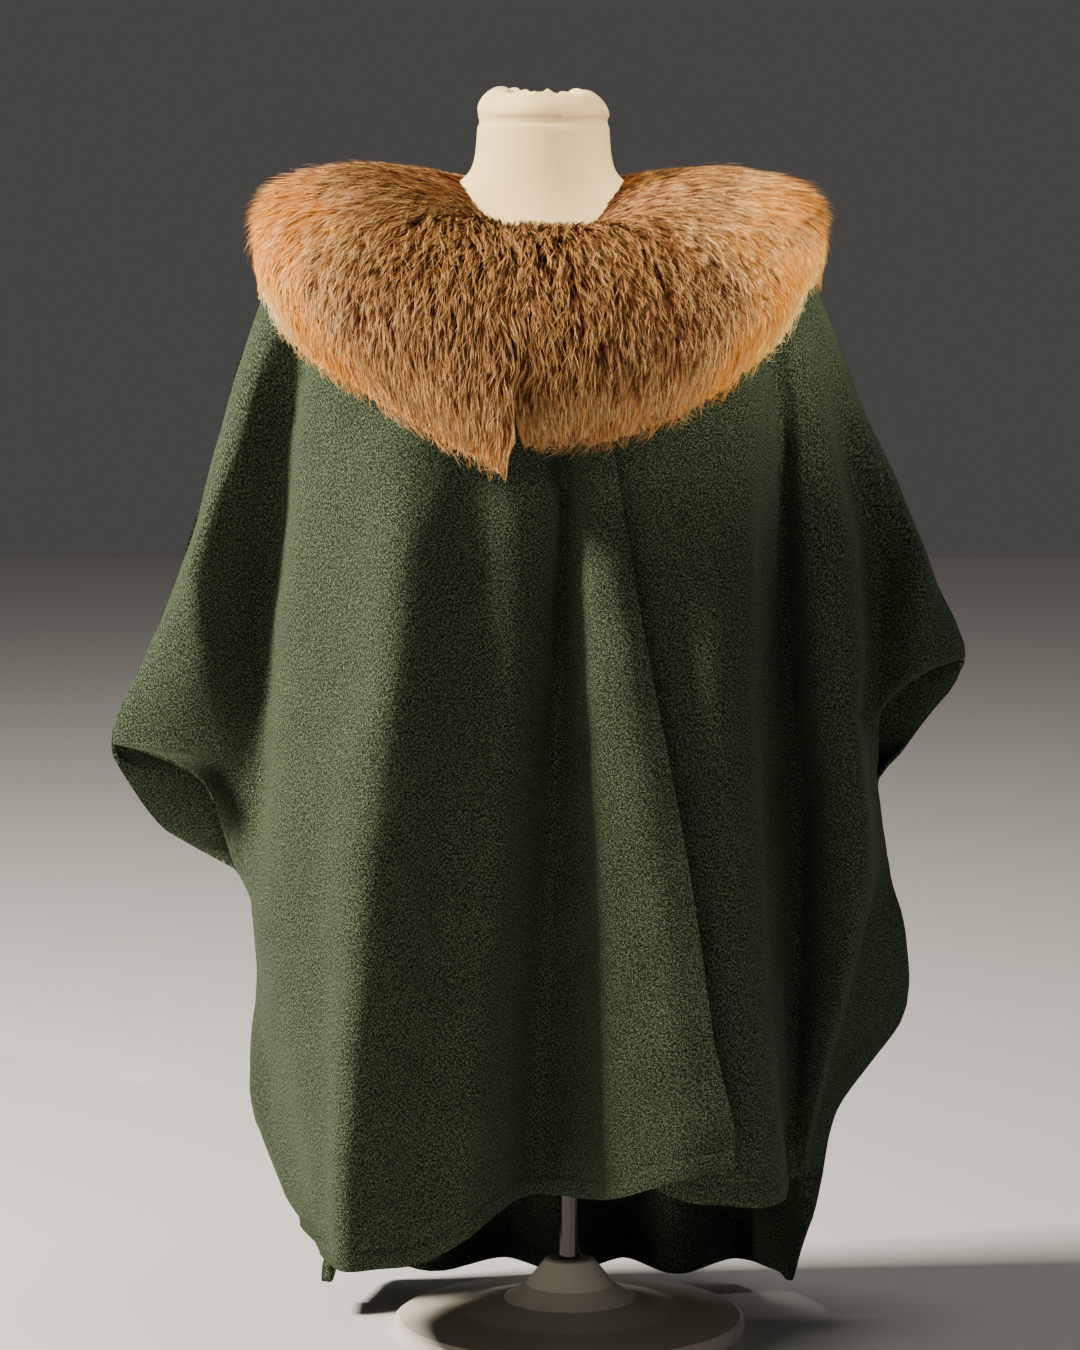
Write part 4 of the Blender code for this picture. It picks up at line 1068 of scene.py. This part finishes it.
def fur_strands(name, half, seed, clumps, per_clump, look, material):
    """Locks of hair: each clump has a path down the pelt, and its strands close in on that path."""
    skin, normals, depths, side, front = half
    rng = np.random.default_rng(seed)
    rows = skin.shape[0] - 1
    down_cells = ((np.arange(rows) + 0.5) / rows)[:, None]
    side_cells = ((side[1:] + side[:-1]) / 2)[None]
    weight = 1 + look["edge"] * (2.5 * smooth_step((down_cells - 0.6) / 0.3) + 1.5 * side_cells)
    row, column = sampled(skin, rng, clumps, weight)
    keep = row < rows * look["roots_to"]
    row, column = row[keep], column[keep]
    clumps = len(row)
    column_length = np.linalg.norm(np.diff(skin, axis=0), axis=2).sum(0)
    down = row / rows
    side_here = np.interp(column, np.arange(len(side)), side)
    front_here = np.interp(column, np.arange(len(front)), front)
    zone = zone_at(down, side_here)
    place = at_grid(skin, row, column)
    zone += HAIR["zone_wave"] * soft_noise(place, HAIR["zone_size"], seed) + rng.normal(0, HAIR["zone_mix"],
                                                                                        clumps)
    standing = np.exp(-down / look["stand_over"])
    long = look["long"] * rng.uniform(*HAIR["longer"], clumps) * (1 - HAIR["short_neck"] * standing)
    low = smooth_step((down - (1 - HAIR["low"])) / HAIR["low"])
    long = long * (1 - HAIR["short_low"] * low * (1 - side_here))
    run = long * (1 - look["stand"] * standing)
    swirl = look["swirl"] * soft_noise(place, HAIR["swirl_size"], seed + 5)
    swirl += rng.normal(0, look["stray"], clumps)
    shares = np.linspace(0, 1, look["steps"])
    # Repeat for each strand of the clump.
    member = np.repeat(np.arange(clumps), per_clump)
    total = len(member)
    spread_root = look["spread"] * np.sqrt(rng.uniform(size=total))
    turn = rng.uniform(0, 2 * math.pi, total)
    span = column_length[np.clip(np.round(column).astype(int), 0, len(column_length) - 1)]
    cell = np.linalg.norm(at_grid(skin, row, column + 0.5) - at_grid(skin, row, column - 0.5), axis=1)
    cell = np.maximum(cell, HAIR["cell"])
    row_m, column_m = row[member], column[member]
    long_m = long[member] * rng.uniform(*HAIR["longer_each"], total)
    run_m = run[member] * long_m / long[member]
    close = look["close"] * (1 - HAIR["open"] * smooth_step(zone))[member]
    wave_at = rng.uniform(0, 2 * math.pi, clumps)[member]
    wave = look["wave"] * (1 - HAIR["still"] * np.clip(zone, 0, 1))[member]
    tip_at = look["tip_at"] * rng.uniform(*HAIR["tips"], total)
    near_join = smooth_step((HAIR["join"] - side_here[member]) / HAIR["join"]) * front_here[member]
    fly = (side_here ** 2 * np.exp(-(((down - SIDE_FLY["at"]) / SIDE_FLY["over"]) ** 2)))[member]
    fly = fly * rng.uniform(*HAIR["fly"], total)
    leave = np.array((-SIDE_FLY["out"] if look["right"] else SIDE_FLY["out"], 0.0, SIDE_FLY["up"]))
    reach = look["past"] * (1 - HAIR["past_side"] * side_here[member]) * (1 - HAIR["past_join"] * near_join)
    reach = reach * rng.uniform(*HAIR["width"], total)
    lines = []
    for t in shares:
        shrink = 1 - close * t ** 1.1
        off_down = spread_root * np.cos(turn) * shrink
        off_side = spread_root * np.sin(turn) * shrink
        off_side = off_side + run_m * swirl[member] * t + wave * np.sin(wave_at + look["turns"] * t) * t
        off_down = off_down + run_m * t
        r = row_m + off_down / span[member] * rows
        c = column_m + off_side / cell[member]
        c = np.clip(c, 0, skin.shape[1] - 1.001)
        past = np.maximum(r - rows, 0) / rows * span[member]
        past = reach * (1 - np.exp(-past / reach))
        point = at_grid(skin, np.minimum(r, rows + 0.0), c)
        last, before = (at_grid(skin, np.full(total, float(at)), c) for at in (rows, rows - 2))
        edge_way = unit(last - before)
        point = point + edge_way * past[:, None]
        up = unit(at_grid(normals, np.minimum(r, rows), c))
        depth = at_grid(depths, np.minimum(r, rows), c)
        share_up = look["root_at"] + (tip_at - look["root_at"]) * np.sin(t * math.pi / 2) ** 0.8
        extra = standing[member] * look["stand_rise"] * t
        lines.append(point + up * (depth * share_up + extra)[:, None] - np.array((0, 0,
                                                                                  HAIR["hang"])) * past[:,
                                                                                                        None]
                     + leave * (fly * t ** 1.5)[:, None])
    lines = np.stack(lines, 1)
    # Keep the two halves from growing through each other in front.
    sign = -1.0 if look["right"] else 1.0
    in_front = lines[..., 1] < HAIR_CROSS["before"]
    join_x = COLLAR_JOIN_X + JOIN_WAVE["high"] * np.sin(2 * math.pi * lines[..., 2] / JOIN_WAVE["long"])
    join_x = join_x + JOIN_WAVE["fine"] * np.sin(2 * math.pi * lines[..., 2] / JOIN_WAVE["short"])
    over = (lines[..., 0] - join_x) * sign
    least = -HAIR_CROSS["over"] * rng.uniform(size=(total, 1)) ** HAIR_CROSS["power"] * shares[None]
    crossing = in_front & (over < least) & (lines[..., 2] > HAIR_CROSS["above"])
    held_back = join_x + sign * (least + HAIR_CROSS["kept"] * np.abs(over - least))
    lines[..., 0] = np.where(crossing, held_back, lines[..., 0])
    tangents = unit(np.gradient(lines, axis=1))
    up = unit(at_grid(normals, np.minimum(row_m, rows), column_m))[:, None]
    sides = unit(np.cross(tangents, up))
    roll = rng.normal(0, look["roll"], total)[:, None, None]
    sides = unit(sides * np.cos(roll) + np.cross(tangents, sides) * np.sin(roll))
    taper = np.interp(shares, *zip(*HAIR_TAPER))
    widths = look["half_width"] * rng.uniform(*HAIR["width"], (total, 1)) * taper[None]
    bins = np.clip(np.round((zone[member] + rng.normal(0, look["mix"], total)) * HAIR_BINS), 0, HAIR_BINS - 1)
    mesh = ribbons(name, lines, widths, sides, (np.full(total, HAIR["across"]), bins))
    return placed(name, mesh, material, 0)


def build_pelt(name, half, material):
    """The skin of the pelt with its dense underwool, as a thin wall under the long hair."""
    skin, normals, depths, side, _ = half
    shares = np.linspace(0, 1, skin.shape[0])
    rise = np.interp(shares, *zip(*PELT_RISE))
    height = depths * rise[:, None]
    top = skin + normals * height[..., None]
    top = top + normals * (PELT_WAVE["high"] * soft_noise(top, PELT_WAVE["long"], PELT_WAVE["seed"]))[...,
                                                                                                      None]
    low = top - normals * PELT_WALL
    zone = np.array([zone_at(s, side) for s in shares])
    uv = np.stack((zone, np.full_like(zone, PELT_MAP_ROW)), -1)
    mesh = shell_mesh(name, top, low, uv, "Zone")
    return placed(name, mesh, material, 60), area_of(top)


def build_fur(material, under):
    counter = 0
    for side_name, right in (("right", True), ("left", False)):
        half = fine_collar(right)
        pelt, area = build_pelt(f"fur_pelt_{side_name}", half, under)
        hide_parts(f"collar_{side_name}")
        for k in range(FUR_LAYERS):
            look = dict(FUR_LOOK, right=right)
            fur_strands(f"fur_hair_{side_name}_{k + 1}", half, 300 + counter, FUR_CLUMPS,
                                      PER_CLUMP,
                                      look, material)
            counter += 1
        look = dict(FUR_LOOK, right=right, **STRAY_LOOK)
        fur_strands(f"fur_guard_{side_name}", half, 400 + counter, STRAY_CLUMPS, 2, look,
                                  material)


# The dress form.
def build_cover(material):
    """The torso and neck under their stretched cover, with the gathered end on top."""
    columns = COVER["columns"]
    rings = form_rings(columns)
    rows = []
    for i in range(len(rings) - 1):
        before, after = rings[max(i - 1, 0)], rings[min(i + 2, len(rings) - 1)]
        parts = COVER["parts"] if np.linalg.norm(rings[i + 1] - rings[i], axis=1).mean() > 0.004 else 3
        for step in range(parts):
            t = step / parts
            rows.append([spline(before[j] if i else 2 * rings[i][j] - rings[i + 1][j], rings[i][j],
                                rings[i + 1][j],
                                after[j] if i + 2 < len(rings) else 2 * rings[i + 1][j] - rings[i][j], t)
                         for j in range(columns)])
    rows.append(list(rings[-1]))
    grid = np.array(rows, float)
    angles = np.arange(columns) * 2 * math.pi / columns
    heights = grid[:, :, 2].mean(1)
    bend = smooth_step((1.086 - heights) / 0.012) * smooth_step((heights - 0.985) / 0.012)
    for _ in range(COVER["smoothed"]):
        middle = (grid[:-2] + grid[2:]) / 2
        grid[1:-1] += (middle - grid[1:-1]) * (0.5 * bend[1:-1])[:, None, None]
    for row in grid:
        radius = np.linalg.norm(row[:, :2] - np.array((NECK_X, 0.0)), axis=1)
        near_top = row[:, 2].mean() > 1.098
        if near_top:
            gather = COVER["gather"] * smooth_step((0.050 - radius) / 0.018)
            wave = np.sin(angles * 13 + 1.3 * np.sin(angles * 3)) + 0.4 * np.sin(angles * 23 + 0.7)
            row[:, 2] += gather * wave + 0.0014 * np.sin(angles * 2 + 2.4) + 0.0009 * np.sin(angles * 5 + 0.6)
            row[:, 2] -= COVER["tilt"] * (row[:, 0] - NECK_X) / 0.055
        sag = COVER["sag"] * np.exp(-((row[:, 2] - 1.0935) / 0.004) ** 2)
        row[:, 2] -= sag * np.maximum(np.sin(angles), 0)
    count = len(grid)
    points = list(grid.reshape(-1, 3))
    index = np.arange(count * columns).reshape(count, columns)
    following = np.roll(index, -1, axis=1)
    quads = np.stack((index[:-1], following[:-1], following[1:], index[1:]), -1).reshape(-1, 4)
    top_middle, low_middle = grid[0].mean(0) - np.array((0, 0, 0.004)), grid[-1].mean(0)
    points.extend((top_middle, low_middle))
    tris = [(count * columns, following[0, j], index[0, j]) for j in range(columns)]
    tris += [(count * columns + 1, index[-1, j], following[-1, j]) for j in range(columns)]
    mesh = array_mesh("form_cover", np.array(points), quads, tris)
    if volume_of(np.array(points), quads) < 0:
        mesh.flip_normals()
    u = np.concatenate((np.tile(angles / (2 * math.pi), count), (0.0, 0.0)))
    v = np.concatenate((np.repeat(grid[:, :, 2].mean(1), columns), (1.1, 0.4)))
    corner = corners_of(mesh)
    cu, cv = u[corner], v[corner]
    face_of = np.repeat(np.arange(len(mesh.polygons)), [p.loop_total for p in mesh.polygons])
    highest = np.zeros(len(mesh.polygons))
    np.maximum.at(highest, face_of, cu)
    cu = np.where((highest[face_of] > 0.75) & (cu < 0.25), cu + 1.0, cu)
    give_map(mesh, "Knit", np.stack((cu, cv), -1))
    piece = placed("form_cover", mesh, material, 55)
    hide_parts("form_body")
    return piece


# Materials.
class Nodes:
    """Short calls for a material's node tree."""

    def __init__(self, name):
        self.material = bpy.data.materials.new(name)
        self.material.use_nodes = True
        self.tree = self.material.node_tree
        self.shader = self.tree.nodes["Principled BSDF"]

    def add(self, kind, **settings):
        node = self.tree.nodes.new(kind)
        for key, value in settings.items():
            if key in node.inputs:
                node.inputs[key].default_value = value
            else:
                setattr(node, key, value)
        return node

    def link(self, source, target):
        self.tree.links.new(source, target)

    def here(self):
        """Places in the object's own metres."""
        return self.add("ShaderNodeTexCoord").outputs["Object"]

    def surface(self, colour=None, rough=None, **others):
        """The surface's inputs: numbers and colours are set, and outputs of other nodes are linked."""
        names = dict(colour="Base Color", rough="Roughness", shine="Specular IOR Level", metal="Metallic",
                     sheen="Sheen Weight", sheen_rough="Sheen Roughness", sheen_tint="Sheen Tint",
                     coat="Coat Weight", coat_rough="Coat Roughness")
        for key, value in dict(others, colour=colour, rough=rough).items():
            target = self.shader.inputs[names[key]]
            if isinstance(value, bpy.types.NodeSocket):
                self.link(value, target)
            elif value is not None:
                target.default_value = (*value, 1.0) if isinstance(value, tuple) else value
        return self.material

    def math(self, operation, a, b=None, c=None):
        node = self.tree.nodes.new("ShaderNodeMath")
        node.operation = operation
        for slot, value in enumerate((a, b, c)):
            if value is None:
                continue
            if isinstance(value, (int, float)):
                node.inputs[slot].default_value = value
            else:
                self.link(value, node.inputs[slot])
        return node.outputs[0]

    def noise(self, vector, scale, detail=2.0, rough=0.5, stretch=None, turn=0.0):
        place = vector
        if stretch is not None:
            mapping = self.tree.nodes.new("ShaderNodeMapping")
            mapping.inputs["Scale"].default_value = stretch
            mapping.inputs["Rotation"].default_value = (0.0, 0.0, turn)
            self.link(vector, mapping.inputs["Vector"])
            place = mapping.outputs[0]
        node = self.tree.nodes.new("ShaderNodeTexNoise")
        node.inputs["Scale"].default_value = scale
        node.inputs["Detail"].default_value = detail
        node.inputs["Roughness"].default_value = rough
        self.link(place, node.inputs["Vector"])
        return node.outputs["Fac"]

    def ramp(self, value, stops):
        node = self.tree.nodes.new("ShaderNodeValToRGB")
        marks = node.color_ramp.elements
        while len(marks) < len(stops):
            marks.new(0.5)
        for mark, (place, colour) in zip(marks, stops):
            mark.position = place
            mark.color = (*colour, 1.0) if len(colour) == 3 else colour
        self.link(value, node.inputs[0])
        return node.outputs["Color"]

    def mix(self, share, a, b, blend="MIX"):
        node = self.tree.nodes.new("ShaderNodeMix")
        node.data_type = "RGBA"
        node.blend_type = blend
        for value, slot in ((share, 0), (a, 6), (b, 7)):
            if isinstance(value, (int, float)):
                node.inputs[slot].default_value = value
            elif isinstance(value, tuple):
                node.inputs[slot].default_value = (*value, 1.0)
            else:
                self.link(value, node.inputs[slot])
        return node.outputs[2]

    def bump(self, height, distance, strength=1.0):
        node = self.tree.nodes.new("ShaderNodeBump")
        node.inputs["Distance"].default_value = distance
        node.inputs["Strength"].default_value = strength
        self.link(height, node.inputs["Height"])
        self.link(node.outputs[0], self.shader.inputs["Normal"])

    def map(self, name):
        node = self.tree.nodes.new("ShaderNodeUVMap")
        node.uv_map = name
        return node.outputs[0]

    def split(self, vector):
        node = self.tree.nodes.new("ShaderNodeSeparateXYZ")
        self.link(vector, node.inputs[0])
        return node.outputs[0], node.outputs[1]


def clamp01(nodes, value):
    return nodes.math("MINIMUM", nodes.math("MAXIMUM", value, 0.0), 1.0)


def loden_material():
    n = Nodes("loden_melange")
    place = n.map("Weave")
    flecks = n.noise(place, 1.0, 1.5, 0.6, (1180, 440, 1), 0.6)
    crossed = n.noise(place, 1.0, 1.5, 0.6, (460, 1120, 1), -0.35)
    fine = n.noise(place, 2200.0, 2.0, 0.6)
    cloud = n.noise(place, 24.0, 3.0, 0.5)
    both = n.math("MAXIMUM", flecks, crossed)
    ground = n.mix(cloud, LODEN["dark"], LODEN["mid"])
    flecked = n.mix(n.ramp(both, ((0.54, (0, 0, 0)), (0.67, (1, 1, 1)))), ground, LODEN["pale"])
    shade = n.ramp(fine, ((0.3, (0.62, 0.62, 0.62)), (0.7, (1.0, 1.0, 1.0))))
    height = n.math("ADD", n.math("MULTIPLY", both, 0.6), n.math("MULTIPLY", fine, 0.5))
    n.bump(height, 0.0007, 0.8)
    colour = n.mix(0.8, flecked, shade, "MULTIPLY")
    return n.surface(colour=colour, rough=0.95, shine=0.15, sheen=0.07, sheen_rough=0.45, sheen_tint=(0.60,
                                                                                                      0.72,
                                                                                                      0.45))


def plain_fibre(name, dark, light, roughness=0.8):
    n = Nodes(name)
    place = n.here()
    return n.surface(colour=n.mix(n.noise(place, 90.0, 1.0), dark, light), rough=roughness, shine=0.2)


def hair_colour(n, zone, along, chance):
    """The colour of a hair by its place on the pelt, the way along it and its own chance."""
    # The root and middle ramps carry painted light: their stops at 0.42 are made paler where the lower front
    # edge lies in shade.
    root = n.ramp(zone, FUR_ROOT_WITH_PAINTED_LIGHT)
    middle = n.ramp(zone, FUR_MIDDLE_WITH_PAINTED_LIGHT)
    # The tip colour at zone 0 is partly the hair's pale ticking and partly a painted highlight.
    tip = n.ramp(zone, FUR_TIP_AND_HIGHLIGHT)
    dark = n.ramp(zone, FUR_BAND)
    low = n.mix(n.math("SMOOTH_MIN", n.math("MULTIPLY", along, 2.6), 1.0, 0.2), root, middle)
    band = n.math("MULTIPLY", n.math("GREATER_THAN", chance, n.math("ADD", n.math("MULTIPLY", zone, 0.6),
                                                                    0.25)),
                  ZONE_BAND)
    inside = n.math("SMOOTH_MAX", n.math("SUBTRACT", 1.0, n.math("MULTIPLY", n.math("ABSOLUTE", n.math(
        "SUBTRACT", along, 0.62)), 4.5)), 0.0, 0.1)
    banded = n.mix(n.math("MULTIPLY", band, inside), low, dark)
    end = n.math("SMOOTH_MAX", n.math("MULTIPLY", n.math("SUBTRACT", along, 0.70), 4.0), 0.0, 0.1)
    return n.mix(clamp01(n, end), banded, tip)


def fur_material():
    n = Nodes("fox_guard_hair")
    u, v = n.split(n.map("OFBake"))
    cell = n.math("FLOOR", n.math("MULTIPLY", u, HAIR_BINS))
    chance = n.add("ShaderNodeTexWhiteNoise", noise_dimensions="1D")
    n.link(cell, chance.inputs["W"])
    zone = n.math("DIVIDE", cell, HAIR_BINS)
    colour = hair_colour(n, zone, v, chance.outputs["Value"])
    shade = n.ramp(chance.outputs["Value"], ((0.0, (0.50, 0.46, 0.42)), (0.6, (1.0, 1.0, 1.0))))
    return n.surface(colour=n.mix(1.0, colour, shade, "MULTIPLY"), rough=0.55, shine=0.14)


def under_material():
    n = Nodes("fox_underwool")
    zone, _ = n.split(n.map("Zone"))
    place = n.here()
    streak = n.noise(place, 260.0, 3.0, 0.6)
    # The pelt shares the hair's root and middle ramps, with their painted light at 0.42.
    root = n.ramp(zone, FUR_ROOT_WITH_PAINTED_LIGHT)
    middle = n.ramp(zone, FUR_MIDDLE_WITH_PAINTED_LIGHT)
    n.bump(streak, 0.003, 1.0)
    share = n.ramp(streak, ((0.35, (0, 0, 0)), (0.75, (0.8, 0.8, 0.8))))
    return n.surface(colour=n.mix(share, root, middle), rough=0.9, shine=0.1)


def jersey_material():
    n = Nodes("cream_jersey")
    u, v = n.split(n.map("Knit"))
    ribs = n.math("SINE", n.math("MULTIPLY", u, 2 * math.pi * COVER["ribs"]))
    courses = n.math("SINE", n.math("MULTIPLY", v, 2 * math.pi * 700.0))
    place = n.here()
    cloud = n.noise(place, 14.0, 3.0)
    streak = n.noise(place, 1.0, 2.0, 0.5, (420, 420, 26))
    tone = n.mix(cloud, JERSEY["shade"], JERSEY["light"])
    lined = n.mix(n.math("MULTIPLY", streak, 0.35), tone, JERSEY["line"])
    height = n.math("ADD", n.math("MULTIPLY", ribs, 0.5), n.math("MULTIPLY", courses, 0.15))
    n.bump(n.math("ADD", height, n.math("MULTIPLY", streak, 0.8)), 0.00010, 0.8)
    return n.surface(colour=lined, rough=0.85, shine=0.25, sheen=0.04, sheen_rough=0.5, sheen_tint=(1.0,
                                                                                                    0.95,
                                                                                                    0.86))


def pole_material():
    n = Nodes("dark_chrome")
    place = n.here()
    rub = n.noise(place, 1.0, 3.0, 0.6, (900, 900, 40))
    colour = n.mix(rub, (0.035, 0.033, 0.031), (0.085, 0.080, 0.074))
    return n.surface(colour=colour, rough=n.math("MULTIPLY_ADD", rub, 0.16, 0.10), metal=1.0)


def foot_material():
    n = Nodes("cream_lacquer")
    place = n.here()
    cloud = n.noise(place, 22.0, 4.0, 0.6)
    orange = n.noise(place, 900.0, 2.0)
    n.bump(orange, 0.00015, 0.5)
    colour = n.mix(cloud, (0.66, 0.60, 0.49), (0.76, 0.71, 0.61))
    return n.surface(colour=colour, rough=n.math("MULTIPLY_ADD", cloud, 0.2, 0.34), coat=0.2, coat_rough=0.25)


def floor_material():
    n = Nodes("pale_floor")
    return n.surface(colour=(0.62, 0.61, 0.60), rough=0.9, shine=0.2)


# Studio.
def aimed(made, target):
    way = Vector(target) - made.location
    made.rotation_euler = way.to_track_quat("-Z", "Y").to_euler()


def build_studio():
    scene = bpy.context.scene
    mesh = bpy.data.meshes.new("floor")
    half = FLOOR_HALF
    mesh.from_pydata([(-half, -half, 0), (half, -half, 0), (half, half, 0), (-half, half, 0)], [], [(0, 1,
                                                                                                     2, 3)])
    mesh.materials.append(floor_material())
    floor = bpy.data.objects.new("floor", mesh)
    floor.location.z = -0.0002
    scene.collection.objects.link(floor)
    for name, place, target, power, size, spread, colour in LAMPS:
        data = bpy.data.lights.new(name, "AREA")
        data.energy = power
        data.size = size
        data.spread = spread
        data.color = colour
        lamp = bpy.data.objects.new(name, data)
        lamp.location = place
        aimed(lamp, target)
        scene.collection.objects.link(lamp)
    world = bpy.data.worlds.new("studio")
    world.use_nodes = True
    backdrop = world.node_tree.nodes["Background"]
    backdrop.inputs["Color"].default_value = (*WORLD["colour"], 1.0)
    backdrop.inputs["Strength"].default_value = WORLD["strength"]
    scene.world = world
    data = bpy.data.cameras.new("camera")
    data.sensor_fit = "VERTICAL"
    data.sensor_height = CAMERA["sensor"]
    data.lens = CAMERA["sensor"] * CAMERA["distance"] / CAMERA["seen"]
    camera = bpy.data.objects.new("camera", data)
    lift = math.radians(CAMERA["elevation"])
    x, y, z = CAMERA["target"]
    camera.location = (x, y - CAMERA["distance"] * math.cos(lift), z + CAMERA["distance"] * math.sin(lift))
    aimed(camera, CAMERA["target"])
    scene.collection.objects.link(camera)
    scene.camera = camera


def main():
    build_studio()
    build_cloth(loden_material(), plain_fibre("loden_thread", (0.020, 0.028, 0.014), (0.05, 0.06, 0.035)),
                plain_fibre("loden_loose_fibre", (0.10, 0.12, 0.075), (0.42, 0.44, 0.34)))
    build_fur(fur_material(), under_material())
    build_cover(jersey_material())
    for node, material in (("form_pole", pole_material()), ("form_base", foot_material())):
        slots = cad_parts[node].material_slots
        slots[0].material = material


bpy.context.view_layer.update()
main()
